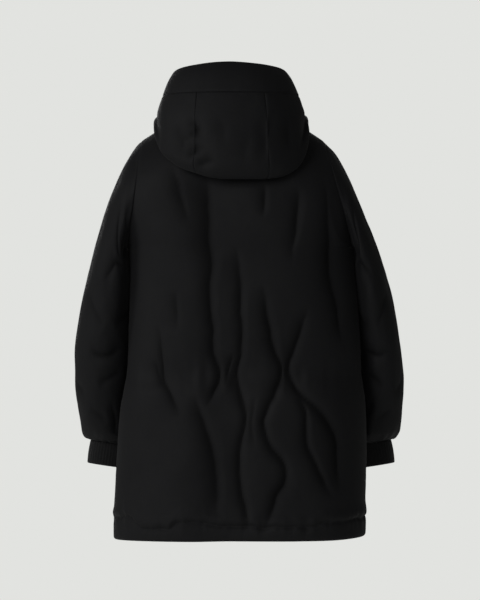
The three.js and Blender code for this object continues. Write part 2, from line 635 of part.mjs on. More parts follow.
// The zip follows the middle of the front and of the collar
function zipPath() {
  const path = [];
  for (const level of bodyLevels) {
    const point = bodyPoint(-1, 0, level);
    path.push({ point, inward: level > 2.999 ? vec(0, 1, -0.35).normalize() : bodyInward(-1, 0, level) });
  }
  for (let j = 1; j <= collarLevels; j++) {
    path.push({ point: collarPoint(1, 180, j / collarLevels), inward: vec(0, 1, 0) });
  }
  for (const step of path) step.point.x = readTable(bodyRows, "z", Math.min(step.point.z, -62)).shift;
  return path;
}

// A strip along the zip, between two places across it and two depths in the wall
function zipStrip(path, fromX, toX, fromDepth, toDepth) {
  const make = (depth) =>
    path.map(({ point, inward }) =>
      [fromX, toX].map((x) => point.clone().addScaledVector(inward, depth).add(vec(x, 0, 0))),
    );
  return wallGeometry(make(fromDepth), make(toDepth), false);
}

// Two overlapping closed shapes joined into one
function joined(first, second) {
  const [a, b] = [first, second].map((geometry) => {
    geometry.deleteAttribute("normal");
    geometry.deleteAttribute("uv");
    const merged = mergeVertices(geometry, 1e-4);
    return new wasm.Manifold(
      new wasm.Mesh({
        numProp: 3,
        vertProperties: merged.attributes.position.array,
        triVerts: Uint32Array.from(merged.index.array),
      }),
    );
  });
  const mesh = a.add(b).getMesh();
  return outwardGeometry([...mesh.vertProperties], [...mesh.triVerts]);
}

// A flat outline given a width and centred on it
function plate(outline, width) {
  const geometry = new THREE.ExtrudeGeometry(outline, { depth: width, bevelEnabled: false });
  return geometry.translate(0, 0, -width / 2);
}

function outlineOf(points) {
  return new THREE.Shape(points.map(([x, y]) => new THREE.Vector2(x, y)));
}

// The slider seen from its side, with the arch that its pull tab hangs from; its outlines lie
// along the zip in X and away from the cloth in Y
function sliderGeometry() {
  const { width, length, depth, bar, rise, reach, archWidth } = slider;
  const chamfer = 0.9;
  const end = length / 2;
  const block = outlineOf([
    [-end, 0],
    [end, 0],
    [end, depth - chamfer],
    [end - chamfer, depth],
    [chamfer - end, depth],
    [-end, depth - chamfer],
  ]);
  const foot = depth - 0.5; // the arch's feet reach into the block
  const top = depth + rise;
  const inside = reach - bar;
  const arch = outlineOf([
    [-reach, foot],
    [-inside, foot],
    [-inside, top - bar],
    [inside, top - bar],
    [inside, foot],
    [reach, foot],
    [reach, top - chamfer],
    [reach - chamfer, top],
    [chamfer - reach, top],
    [-reach, top - chamfer],
  ]);
  return joined(plate(block, width), plate(arch, archWidth));
}

// The pull tab hangs from its pivot at the origin of its outline
function tabGeometry() {
  const { width, length, thick, window, windowEnd } = tab;
  const corner = 2.2;
  const [w, low, high] = [width / 2, -length, thick / 2];
  const outline = outlineOf([
    [-w + 1, high],
    [-w, high - 1],
    [-w, low + corner],
    [-w + corner, low],
    [w - corner, low],
    [w, low + corner],
    [w, high - 1],
    [w - 1, high],
  ]);
  const opening = new THREE.Path();
  opening.moveTo(-window / 2, -thick / 2);
  opening.lineTo(window / 2, -thick / 2);
  opening.lineTo(window / 2, -windowEnd);
  opening.lineTo(-window / 2, -windowEnd);
  opening.closePath();
  outline.holes.push(opening);
  return plate(outline, thick);
}

const finish = (color, roughness, metalness) =>
  new THREE.MeshStandardMaterial({ color, roughness, metalness, side: THREE.FrontSide });
const shellCloth = finish(0x16161a, 0.72, 0);
const ribKnit = finish(0x101012, 0.95, 0);
const zipTape = finish(0x121214, 0.9, 0);
const mouldedTeeth = finish(0x1a1a1c, 0.45, 0);
const blackenedMetal = finish(0x2b2b2e, 0.35, 0.9);

const parka = new THREE.Group();

function addPiece(name, geometry, material) {
  const piece = new THREE.Mesh(geometry, material);
  piece.name = name;
  parka.add(piece);
  return piece;
}

addPiece("back", backGeometry(), shellCloth);
for (const [name, side] of [["left", 1], ["right", -1]]) {
  addPiece("front_" + name, frontGeometry(side), shellCloth);
  addPiece("sleeve_" + name, sleeveGeometry(side), shellCloth);
  addPiece("cuff_" + name, cuffGeometry(side), ribKnit);
}
addPiece("collar", collarGeometry(), shellCloth);

const middleStart = sideColumns;
const middleEnd = sideColumns + middleColumns;
const hoodEnd = stations.length - 1;
const brimSeams = { start: 0, end: 0, top: 0, bottom: 1 };
const middleSeams = { start: 2, end: 2, top: 1, bottom: 0 };
const leftSeams = { start: 2, end: 0, top: 1, bottom: 0 };
const rightSeams = { start: 0, end: 2, top: 1, bottom: 0 };
addPiece("hood_brim", hoodPiece(0, hoodEnd, brimRows, brimSeams), shellCloth);
addPiece("hood_middle", hoodPiece(middleStart, middleEnd, crownRows, middleSeams), shellCloth);
addPiece("hood_side_left", hoodPiece(middleEnd, hoodEnd, crownRows, leftSeams), shellCloth);
addPiece("hood_side_right", hoodPiece(0, middleStart, crownRows, rightSeams), shellCloth);

// The zip's two tapes, its chain of teeth and the slider at its top
const path = zipPath();
const tapeBack = zip.tapeDepth + zip.tape;
const tapeEdge = zip.halfGap - seamGap;
addPiece("zip_tape_left", zipStrip(path, seamGap / 2, tapeEdge, zip.tapeDepth, tapeBack), zipTape);
addPiece("zip_tape_right", zipStrip(path, -tapeEdge, -seamGap / 2, zip.tapeDepth, tapeBack), zipTape);
const chainTop = zip.tapeDepth - seamGap;
const zipTop = path[path.length - 1].point;
const sliderMiddle = zipTop.z - slider.length / 2 - 1;
const chainPath = path.slice(0, -2);
const chainEnd = zipTop.clone().setZ(sliderMiddle - slider.length / 2 - seamGap);
chainPath.push({ point: chainEnd, inward: vec(0, 1, 0) });
const chain = zipStrip(chainPath, -zip.chainHalf, zip.chainHalf, chainTop - zip.chain, chainTop);
addPiece("zip_chain", chain, mouldedTeeth);

// The slider stands on the tapes, and its tab hangs plumb from the arch
const sliderBack = zipTop.y + zip.tapeDepth - seamGap;
const sliderPiece = addPiece("zip_slider", sliderGeometry(), blackenedMetal);
sliderPiece.position.set(zipTop.x, sliderBack, sliderMiddle);
const uprightOutline = new THREE.Matrix4().makeBasis(vec(0, 0, 1), vec(0, -1, 0), vec(1, 0, 0));
sliderPiece.setRotationFromMatrix(uprightOutline);
const tabPiece = addPiece("zip_pull_tab", tabGeometry(), blackenedMetal);
tabPiece.position.set(zipTop.x, sliderBack - slider.depth - tab.pivotRise, sliderMiddle);
tabPiece.rotation.x = 90 * DEGREE;

export default parka;
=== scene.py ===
import math
import bpy
import numpy as np
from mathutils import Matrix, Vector, kdtree


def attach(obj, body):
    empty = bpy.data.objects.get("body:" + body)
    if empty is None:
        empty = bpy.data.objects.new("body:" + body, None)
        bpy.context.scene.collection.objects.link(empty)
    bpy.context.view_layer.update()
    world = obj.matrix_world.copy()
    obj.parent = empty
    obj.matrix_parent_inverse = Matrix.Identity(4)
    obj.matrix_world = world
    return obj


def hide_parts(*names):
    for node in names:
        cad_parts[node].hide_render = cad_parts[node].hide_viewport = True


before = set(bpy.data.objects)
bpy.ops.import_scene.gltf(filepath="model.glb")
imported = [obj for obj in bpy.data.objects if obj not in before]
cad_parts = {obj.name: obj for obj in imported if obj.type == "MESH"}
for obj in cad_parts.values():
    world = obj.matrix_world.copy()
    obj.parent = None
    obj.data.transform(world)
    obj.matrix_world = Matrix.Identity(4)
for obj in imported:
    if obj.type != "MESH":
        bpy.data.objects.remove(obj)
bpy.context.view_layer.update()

degree = math.pi / 180
millimetre = 0.001

# The camera stands behind the coat, level and far away, and sees this much height at the coat
cameraValues = {"x": -0.01575, "z": -0.395, "distance": 8.0, "sensor": 36.0, "heightSeen": 1.26}


def makeCamera():
    data = bpy.data.cameras.new("studioCamera")
    data.sensor_width = cameraValues["sensor"]  # of the picture's longer side, its height
    data.lens = cameraValues["sensor"] * cameraValues["distance"] / cameraValues["heightSeen"]
    data.clip_end = 60
    camera = bpy.data.objects.new("studioCamera", data)
    camera.location = (cameraValues["x"], cameraValues["distance"], cameraValues["z"])
    camera.rotation_euler = (90 * degree, 0, 180 * degree)
    bpy.context.collection.objects.link(camera)
    bpy.context.scene.camera = camera


makeCamera()
print("camera placed")


# Sizes in millimetres, the same as the solids have
def table(names, *rows):
    return dict(zip(names.split(), np.array(rows, float).T))


sideY = -6
bodyPower = 2.4
yoke = {1: 0.45, -1: 0.15}  # how round the top is at the middle of the back and the front
shoulder = {"x": 192, "z": -62, "curve": 1.25}
underarm = {"x": 236, "z": -285}
armhole = {"halfDepth": 97, "hollow": {1: 2, -1: 12}}
neck = {"halfWidth": 82, "depth": {1: 68, -1: 74}, "drop": {1: 20, -1: 62}, "power": 1.6}
neckShare = 5 / 12
hem = {"centre": {1: -895.5, -1: -901}, "left": -897, "right": -888, "riseLeft": 4, "riseRight": 1.2}
zipGap = 14
bodyRows = table(
    "z width back front shift",
    (-901, 262.5, 155, 151, -13),
    (-875, 264, 159, 155, -14),
    (-815, 263, 158, 154, -15),
    (-740, 262, 156, 152, -18),
    (-640, 258, 151, 147, -21),
    (-585, 252, 145, 141, -23),
    (-548, 246, 139, 136, -24),
    (-510, 244, 142, 139, -24),
    (-440, 240, 146, 144, -22),
    (-380, 237, 149, 147, -20),
    (-330, 235, 150, 148, -18),
    (-285, 236, 149, 146, -15),
    (-230, 236, 147, 142, -13),
    (-173, 236, 144, 136, -9),
    (-110, 236, 140, 130, -4),
    (-62, 236, 130, 120, 0),
)
sleeveRows = table(
    "at outX outZ inX inZ midY halfY power",
    (0, 192, -62, 236, -285, -6, 97, 2),
    (1, 214, -88, 238, -295, -8, 98, 2.05),
    (2, 234, -123, 238.5, -305, -9, 99, 2.1),
    (3, 253, -164, 238.5, -318, -11, 99, 2.15),
    (4, 269, -206, 238, -334, -14, 99, 2.2),
    (5, 285, -252, 238, -354, -18, 98, 2.2),
    (6, 300, -300, 239, -380, -23, 96, 2.2),
    (7, 314, -353, 240.2, -410, -29, 94, 2.2),
    (8, 326, -404, 241.5, -444, -37, 91, 2.2),
    (9, 335, -453, 242.7, -480, -46, 87, 2.2),
    (10, 341, -500, 243.4, -517, -56, 82, 2.2),
    (11, 344, -543, 244, -553, -66, 77, 2.2),
    (12, 345.5, -584, 245.5, -590, -77, 71, 2.2),
    (13, 341, -626, 246.5, -630, -89, 65, 2.25),
    (14, 336, -661, 246, -668, -99, 57, 2.3),
    (15, 330, -682, 244, -691, -105, 44, 2.3),
    (16, 320, -692, 242, -704, -108, 29, 2.2),
)
lastRing = 16
outlineShift = table(
    "z shift",
    (-62, 0),
    (-185, -3),
    (-311, -8.4),
    (-479, -10.5),
    (-565, -13.7),
    (-647, -15.8),
    (-760, -16.8),
)
hoodRows = table(
    "at half back frontX frontY high side front fallLeft fallRight",
    (0, 119, 150, 60, -66, 99, 76, 24, 0.8, 0.8),
    (1, 132, 168, 66, -70, 70, 54, 16, 1.1, 1.1),
    (2, 143, 180, 71, -72, 33, 28, 8, 1.4, 1.4),
    (3, 154, 192, 77, -73, -22, -2, -1, 1.4, 1.6),
    (4, 157, 193, 82, -72, -81, -26, -8, 1.2, 1.8),
    (5, 161, 184, 84, -68, -129, -42, -11, 1.0, 1.9),
    (6, 146, 164, 83, -62, -147, -44, -12, 1.0, 1.9),
    (7, 124, 138, 84, -60, -119, -26, -10, 1.0, 1.6),
    (8, 104, 100, 81, -56, -62, -8, -10, 1.0, 1.2),
)
hood = {"widestY": 46, "shiftX": 4.5, "power": 2.5, "sideShare": 0.62, "frontBeta": 122, "last": 8,
        "flatLeft": 0.25, "leftFrom": 148, "flatRight": 0.4, "rightFrom": 138, "panelShare": 0.19,
        "under": 7.5, "over": 25, "overUntil": 4.4, "underFrom": 6, "edgeHeight": 2.0, "offCollar": 0.4}
collarRows = table("beta top lean", (0, 50, 6), (60, 54, 4), (100, 54, 2), (150, 34, 1), (180, 22, 0))
seamDip = 2.5
seamRise = 0.15


def readTable(columns, key, at):  # on a smooth curve through the rows
    at = np.asarray(at, float)
    keys = columns[key]
    sign = 1 if keys[-1] > keys[0] else -1
    last = len(keys) - 1
    k = np.clip(np.searchsorted(sign * keys, sign * at) - 1, 0, last - 1)
    before = np.maximum(k - 1, 0)
    after = np.minimum(k + 2, last)
    span = keys[k + 1] - keys[k]
    t = np.clip((at - keys[k]) / span, 0, 1)
    row = {}
    for name, value in columns.items():
        leaving = (value[k + 1] - value[before]) / (keys[k + 1] - keys[before]) * span
        arriving = (value[after] - value[k]) / (keys[after] - keys[k]) * span
        bend = leaving * t * (1 - t) ** 2 - arriving * t * t * (1 - t)
        row[name] = value[k] + (value[k + 1] - value[k]) * t * t * (3 - 2 * t) + bend
    return row


def mix(a, b, share):
    return a + (b - a) * share


def place(x, y, z):
    return np.stack(np.broadcast_arrays(x, y, z), -1).astype(float)


def unit(vectors):
    return vectors / np.maximum(np.linalg.norm(vectors, axis=-1, keepdims=True), 1e-9)


def roundSection(angle, power):
    reach = (np.abs(np.sin(angle)) ** power + np.abs(np.cos(angle)) ** power) ** (-1 / power)
    return reach * np.sin(angle), reach * np.cos(angle)


def topEdge(face, share):  # the neckline, then the shoulder seam
    turn = np.clip(share / neckShare, 0, 1) * 90 * degree
    deep = np.cos(turn)
    depth = face * neck["depth"][face]
    neckline = place(neck["halfWidth"] * np.sin(turn), sideY + depth * deep,
                     -neck["drop"][face] * np.maximum(deep, 0) ** neck["power"])
    along = np.clip((share - neckShare) / (1 - neckShare), 0, 1)
    shoulderSeam = place(mix(neck["halfWidth"], shoulder["x"], along), sideY,
                         shoulder["z"] * along ** shoulder["curve"])
    return np.where((share < neckShare)[..., None], neckline, shoulderSeam)


def armholePoint(face, angle):  # 0 at the shoulder's end, a half turn at the underarm
    up = (1 + np.cos(angle)) / 2
    return place(
        mix(underarm["x"], shoulder["x"], up) - armhole["hollow"][face] * np.sin(angle) ** 2,
        sideY + face * armhole["halfDepth"] * np.sin(angle),
        mix(underarm["z"], shoulder["z"], up),
    )


def depthAt(face, z):
    return readTable(bodyRows, "z", z)["back" if face > 0 else "front"]


def chestPoint(face, share, level):
    edge = armholePoint(face, (180 - 90 * (level - 1)) * degree)
    depth = depthAt(face, edge[..., 2])
    endDeep = np.clip(face * (edge[..., 1] - sideY) / depth, 0, 1)
    endAcross = (1 - endDeep ** bodyPower) ** (1 / bodyPower)
    cut = 90 - np.arctan2(endAcross, endDeep) / degree
    late = np.minimum(4, (1 + 90 / np.maximum(cut, 1e-6)) / 2)
    across, deep = roundSection((90 * share - cut * share ** late) * degree, bodyPower)
    return place(edge[..., 0] * across / endAcross, sideY + face * depth * deep, edge[..., 2])


def bodyPoint(face, u, level):  # level 0 hem, 1 underarm, 2 mid armhole, 3 shoulder and neckline
    u, level = np.broadcast_arrays(np.asarray(u, float), np.clip(level, 0, 3))
    share = np.abs(u)
    side = np.where(u < 0, -1, 1)
    rise = np.where(u > 0, share ** hem["riseLeft"], share ** hem["riseRight"])
    bottom = mix(hem["centre"][face], np.where(u > 0, hem["left"], hem["right"]), rise)
    z = mix(bottom, underarm["z"], np.minimum(level, 1))
    across, deep = roundSection(share * 90 * degree, bodyPower)
    low = place(readTable(bodyRows, "z", z)["width"] * across, sideY + face * depthAt(face, z) * deep, z)
    chest = chestPoint(face, share, np.clip(level, 1, 2))
    turn = 90 * (3 - np.clip(level, 2, 3)) * degree
    middle = chestPoint(face, share, np.full(share.shape, 2.0))
    top = topEdge(face, share)
    roundness = mix(yoke[face], 1, np.clip(share / neckShare, 0, 1))
    out = roundness * np.sin(turn) + (1 - roundness) * (1 - np.cos(turn))
    straight = mix(armholePoint(face, 90 * degree)[0], shoulder["x"], np.cos(turn))
    curve = (armholePoint(face, turn)[..., 0] - straight) * share ** 3
    high = place(
        mix(middle[..., 0], top[..., 0], np.cos(turn)) + curve,
        mix(top[..., 1], middle[..., 1], out),
        mix(middle[..., 2], top[..., 2], np.cos(turn)),
    )
    level = level[..., None]
    found = np.where(level <= 1, low, np.where(level <= 2, chest, high))
    found[..., 0] = side * found[..., 0] + readTable(bodyRows, "z", found[..., 2])["shift"]
    return found


def armholeInward(points, side):
    middleX = side * mix(underarm["x"], shoulder["x"], 0.5)
    middleX = middleX + readTable(bodyRows, "z", points[..., 2])["shift"]
    return unit(place(middleX, sideY, mix(underarm["z"], shoulder["z"], 0.5)) - points)


def sleevePoint(side, at, angle):  # the angle runs from the outer side through the back
    row = readTable(sleeveRows, "at", np.clip(at, 0, lastRing))
    across, deep = roundSection(angle, row["power"])
    out = (1 + deep) / 2
    outShift = readTable(outlineShift, "z", row["outZ"])["shift"]
    inShift = readTable(bodyRows, "z", row["inZ"])["shift"]
    hollow = np.where(across > 0, armhole["hollow"][1], armhole["hollow"][-1]) * across ** 2
    z = mix(row["inZ"], row["outZ"], out)
    shift = mix(mix(inShift, outShift, out), readTable(bodyRows, "z", z)["shift"], np.maximum(0, 1 - at))
    x = side * (mix(row["inX"], row["outX"], out) - hollow * np.maximum(0, 1 - at / 3)) + shift
    return place(x, row["midY"] + row["halfY"] * across, z)


def neckPoint(side, beta):  # just inside the end of the neckline, so never on the shoulder seam
    insideNeck = neckShare * 0.999999
    back = topEdge(1, insideNeck * np.minimum(beta, 90) / 90)
    front = topEdge(-1, insideNeck * np.minimum(180 - beta, 90) / 90)
    found = np.where((beta <= 90)[..., None], back, front)
    found[..., 0] *= side
    return found


def collarPoint(side, beta, share):
    found = neckPoint(side, beta)
    row = readTable(collarRows, "beta", beta)
    out = unit(place(found[..., 0], found[..., 1] - sideY, 0))
    low = found[..., 2] + seamRise
    found += out * (row["lean"] * share - seamDip)[..., None]
    found[..., 2] = mix(low, row["top"], share)
    return found


# Grids of points
def lengths(points, axis):  # how far each point lies from the start of its row or column
    step = np.linalg.norm(np.diff(points, axis=axis), axis=2)
    start = np.zeros_like(np.take(step, [0], axis=axis))
    return np.concatenate([start, np.cumsum(step, axis=axis)], axis=axis)


def gridNormals(points, ring, away):
    down = np.gradient(points, axis=0)
    along = np.gradient(points, axis=1)
    if ring:
        along = np.roll(points, -1, 1) - np.roll(points, 1, 1)
    normals = unit(np.cross(down, along))
    return normals if np.sum(normals * (points - away)) > 0 else -normals


besideEdge = [0.0, 0.8, 2.2, 4.6]  # rows and columns lie closer together beside an edge


def spread(first, last, count, length, crowdFirst=True, crowdLast=True):
    share = np.linspace(0, 1, count + 1)
    near = np.array(besideEdge) / length
    clear = 2 * near[-1]
    keep = (share > (clear if crowdFirst else -1)) & (share < (1 - clear if crowdLast else 2))
    parts = [near if crowdFirst else [], share[keep], (1 - near[::-1]) if crowdLast else []]
    return mix(first, last, np.concatenate(parts))


latticeSize = 64


def softNoise(a, b, size, seed, around=latticeSize):  # smooth bumps of about that size, from -1 to 1
    lattice = np.random.default_rng(seed).uniform(-1, 1, (latticeSize, latticeSize))
    i = np.floor(a / size).astype(int)
    j = np.floor(b / size).astype(int)
    s = a / size - i
    t = b / size - j
    s = s * s * (3 - 2 * s)
    t = t * t * (3 - 2 * t)

    def pick(m, n):
        return lattice[(i + m) % around, (j + n) % latticeSize]

    return mix(mix(pick(0, 0), pick(1, 0), s), mix(pick(0, 1), pick(1, 1), s), t)


# A crease is a narrow core in a broad hollow. One flank is soft and the other steep, and laps over. Each
# crease also gives a mask of painted shade for the cloth's colour.
creaseShape = {"step": 9, "fade": 60, "reach": 1.35, "lean": 0.7, "power": 1.35, "broadShare": 0.3,
               "broadReach": 2.6, "lapShare": 0.34, "lapAt": 3.6, "lapReach": 3.4,
               "paintedShadeDepth": 7, "paintedShadeReach": 0.95, "paintedShadeLean": 0.6, "paintedShadePower": 1.4}


def creases(lines, a, b, soft=1):  # each point of a line holds its two places, a width and a depth
    v = creaseShape
    core = np.zeros(np.broadcast(a, b).shape)
    broad = np.zeros_like(core)
    lap = np.zeros_like(core)
    deep = np.zeros_like(core)
    for line in lines:
        rows = np.array(line, float)
        run = np.concatenate([[0], np.cumsum(np.hypot(*np.diff(rows[:, :2], axis=0).T))])
        columns = {"run": run, "a": rows[:, 0], "b": rows[:, 1], "width": rows[:, 2], "depth": rows[:, 3]}
        steps = np.linspace(0, run[-1], int(run[-1] / v["step"]) + 2)
        curve = readTable(columns, "run", steps)
        ends = np.minimum(steps, run[-1] - steps) / min(v["fade"], run[-1] / 3)
        curve["depth"] = curve["depth"] * np.clip(ends, 0, 1) * (2 - np.clip(ends, 0, 1))
        near = np.full(core.shape, 1e6)
        width = np.ones_like(core)
        depth = np.zeros_like(core)
        lean = np.zeros_like(core)
        for k in range(len(steps) - 1):
            stepA = curve["a"][k + 1] - curve["a"][k]
            stepB = curve["b"][k + 1] - curve["b"][k]
            pastA = a - curve["a"][k]
            pastB = b - curve["b"][k]
            share = np.clip((pastA * stepA + pastB * stepB) / (stepA ** 2 + stepB ** 2), 0, 1)
            gap = np.hypot(pastA - share * stepA, pastB - share * stepB)
            closer = gap < near
            near = np.where(closer, gap, near)
            width = np.where(closer, mix(curve["width"][k], curve["width"][k + 1], share), width)
            depth = np.where(closer, mix(curve["depth"][k], curve["depth"][k + 1], share), depth)
            lean = np.where(closer, soft * (pastA - share * stepA) / (gap + 0.5), lean)
        away = np.sqrt(near ** 2 + 1) / (width * (v["reach"] + v["lean"] * lean))
        core = np.maximum(core, depth * np.exp(-(away ** v["power"])))
        broad = np.maximum(broad, v["broadShare"] * depth * np.exp(-((away / v["broadReach"]) ** 2)))
        lapping = np.exp(-((near - v["lapAt"]) / v["lapReach"]) ** 2)
        lap = np.maximum(lap, v["lapShare"] * depth * np.maximum(-lean, 0) * lapping)
        # painted shade: how dark the cloth is painted in and beside each crease, darkest in its core
        dark = (near / (width * (v["paintedShadeReach"] + v["paintedShadeLean"] * lean))) ** v["paintedShadePower"]
        deep = np.maximum(deep, np.minimum(depth / v["paintedShadeDepth"], 1) * np.exp(-dark))
    return -core - broad, soft * lap, deep


def slide(points, amount, ring=False):  # along the grid's rows
    along = np.gradient(points, axis=1)
    if ring:
        along = np.roll(points, -1, 1) - np.roll(points, 1, 1)
    return points + unit(along) * amount[..., None]


def outwardMesh(name, vertices, faces):
    mesh = bpy.data.meshes.new(name)
    a, b, c, d = (vertices[faces[:, k]] for k in range(4))
    volume = np.sum(a * np.cross(b, c)) + np.sum(a * np.cross(c, d))
    if volume < 0:
        faces = faces[:, ::-1]
    mesh.from_pydata(vertices.tolist(), [], faces.tolist())
    mesh.polygons.foreach_set("use_smooth", [True] * len(mesh.polygons))
    return mesh, faces


def wallMesh(name, outer, inner, ring, deep=None):  # a closed wall from its outer and its inner points
    rows, columns = outer.shape[:2]
    number = np.arange(rows * columns).reshape(rows, columns)
    if ring:
        number = np.concatenate([number, number[:, :1]], axis=1)
    far = number + rows * columns

    def strip(p, q, r, s):
        return np.stack([p.ravel(), q.ravel(), r.ravel(), s.ravel()], 1)

    faces = [
        strip(number[:-1, :-1], number[:-1, 1:], number[1:, 1:], number[1:, :-1]),
        strip(far[:-1, :-1], far[1:, :-1], far[1:, 1:], far[:-1, 1:]),
        strip(number[0, :-1], far[0, :-1], far[0, 1:], number[0, 1:]),
        strip(number[-1, :-1], number[-1, 1:], far[-1, 1:], far[-1, :-1]),
    ]
    if not ring:
        faces.append(strip(number[:-1, 0], number[1:, 0], far[1:, 0], far[:-1, 0]))
        faces.append(strip(number[:-1, -1], far[:-1, -1], far[1:, -1], number[1:, -1]))
    vertices = np.concatenate([outer.reshape(-1, 3), inner.reshape(-1, 3)]) * millimetre
    mesh, faces = outwardMesh(name, vertices, np.concatenate(faces))
    # the cloth's own lengths, in metres, for its weave
    across = lengths(outer, 1) * millimetre
    upwards = lengths(outer, 0) * millimetre
    flat = np.stack([across.ravel(), upwards.ravel()], 1)
    flat = np.concatenate([flat, flat])
    layer = mesh.uv_layers.new(name="cloth")
    layer.data.foreach_set("uv", flat[faces.ravel()].astype(np.float32).ravel())
    # painted shade: how deep in a crease each point lies, which darkens the cloth's colour and lowers its
    # gloss there
    shade = np.zeros(len(vertices), np.float32)
    if deep is not None:
        shade[:rows * columns] = deep.ravel()
    mesh.attributes.new("crease", "FLOAT", "POINT").data.foreach_set("value", shade)
    return mesh


def addPiece(name, mesh, material, body, replaced, smooth=0):
    piece = bpy.data.objects.new(name, mesh)
    bpy.context.collection.objects.link(piece)
    mesh.materials.append(material)
    if smooth:
        modifier = piece.modifiers.new("smooth", "SUBSURF")
        modifier.levels = smooth
        modifier.render_levels = smooth
        bpy.context.view_layer.update()
        evaluated = piece.evaluated_get(bpy.context.evaluated_depsgraph_get())
        finished = bpy.data.meshes.new_from_object(evaluated)
        piece.modifiers.clear()
        piece.data = finished
        finished.name = name
    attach(piece, body)
    if replaced:
        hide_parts(*replaced)
    return piece


def padWall(base, normal, push, thickness, edges):
    inward = -normal
    sink = np.zeros(base.shape[:2])
    thick = np.full(base.shape[:2], float(thickness))
    for edge in edges:
        near = np.clip(1 - edge["distance"] / edge["reach"], 0, 1)
        roll = 1 - np.sqrt(1 - near ** 2)
        sink = np.maximum(sink, edge["sink"] * roll)
        thick = np.minimum(thick, mix(thickness, edge["thick"], roll))
        if edge.get("inward") is not None:
            weight = near[..., None]
            inward = unit(inward * (1 - weight) + edge["inward"] * weight)
        if edge.get("hold", True):
            push = push * (1 - np.clip(1 - edge["distance"] / (2.2 * edge["reach"]), 0, 1) ** 2)
    outer = base + inward * (sink - push)[..., None]
    return outer, outer + inward * thick[..., None]


def seam(distance, inward=None, sink=3.4, thick=3.0, reach=9.0):
    return {"distance": distance, "inward": inward, "sink": sink, "thick": thick, "reach": reach}


def freeEdge(distance, thickness, reach=6.0):
    return {"distance": distance, "sink": thickness / 2, "thick": 0.8, "reach": reach, "hold": False}


def pucker(distance, along, amount, width, size, seed):  # gathers that fade away from a seam
    fade = np.exp(-(distance / width) ** 1.5)
    large = softNoise(along, distance * 0.25, size, seed)
    small = softNoise(along, distance * 0.2, size * 0.45, seed + 1)
    return amount * fade * (large + 0.4 * small)


# Materials
def linear(hexColour):
    parts = [int(hexColour[k:k + 2], 16) / 255 for k in (1, 3, 5)]
    return [c / 12.92 if c <= 0.04045 else ((c + 0.055) / 1.055) ** 2.4 for c in parts] + [1.0]


def addNode(tree, kind, settings=None, inputs=None, links=None):
    node = tree.nodes.new(kind)
    for name, value in (settings or {}).items():
        setattr(node, name, value)
    for name, value in (inputs or {}).items():
        node.inputs[name].default_value = value
    for name, source in (links or {}).items():
        tree.links.new(source, node.inputs[name])
    return node


def startMaterial(name):
    material = bpy.data.materials.new(name)
    material.use_nodes = True
    tree = material.node_tree
    tree.nodes.clear()
    return material, tree


def closeMaterial(tree, shader):
    addNode(tree, "ShaderNodeOutputMaterial", links={"Surface": shader.outputs[0]})


waveLength = 0.314  # how long a wave texture's wave is at a scale of one, in metres

# Tightly woven polyamide over wadding: nearly black, matt, with a broad soft gloss on each fold, and painted
# shade in its creases.
# Its threads are drawn three times as coarse as real ones, so that they show from close by.
clothValues = {"dark": "#08080a", "light": "#0e0e10", "paintedShade": "#020202", "paintedCreaseShade": 0.74,
               "gloss": 0.2, "paintedShadeGloss": 0.02, "patch": 0.111, "thread": 0.0009, "crinkle": 0.033,
               "roughLow": 0.68, "roughHigh": 0.80, "weaveDepth": 0.00006, "crinkleDepth": 0.0011,
               "sheen": 0.02, "sheenRough": 0.5}


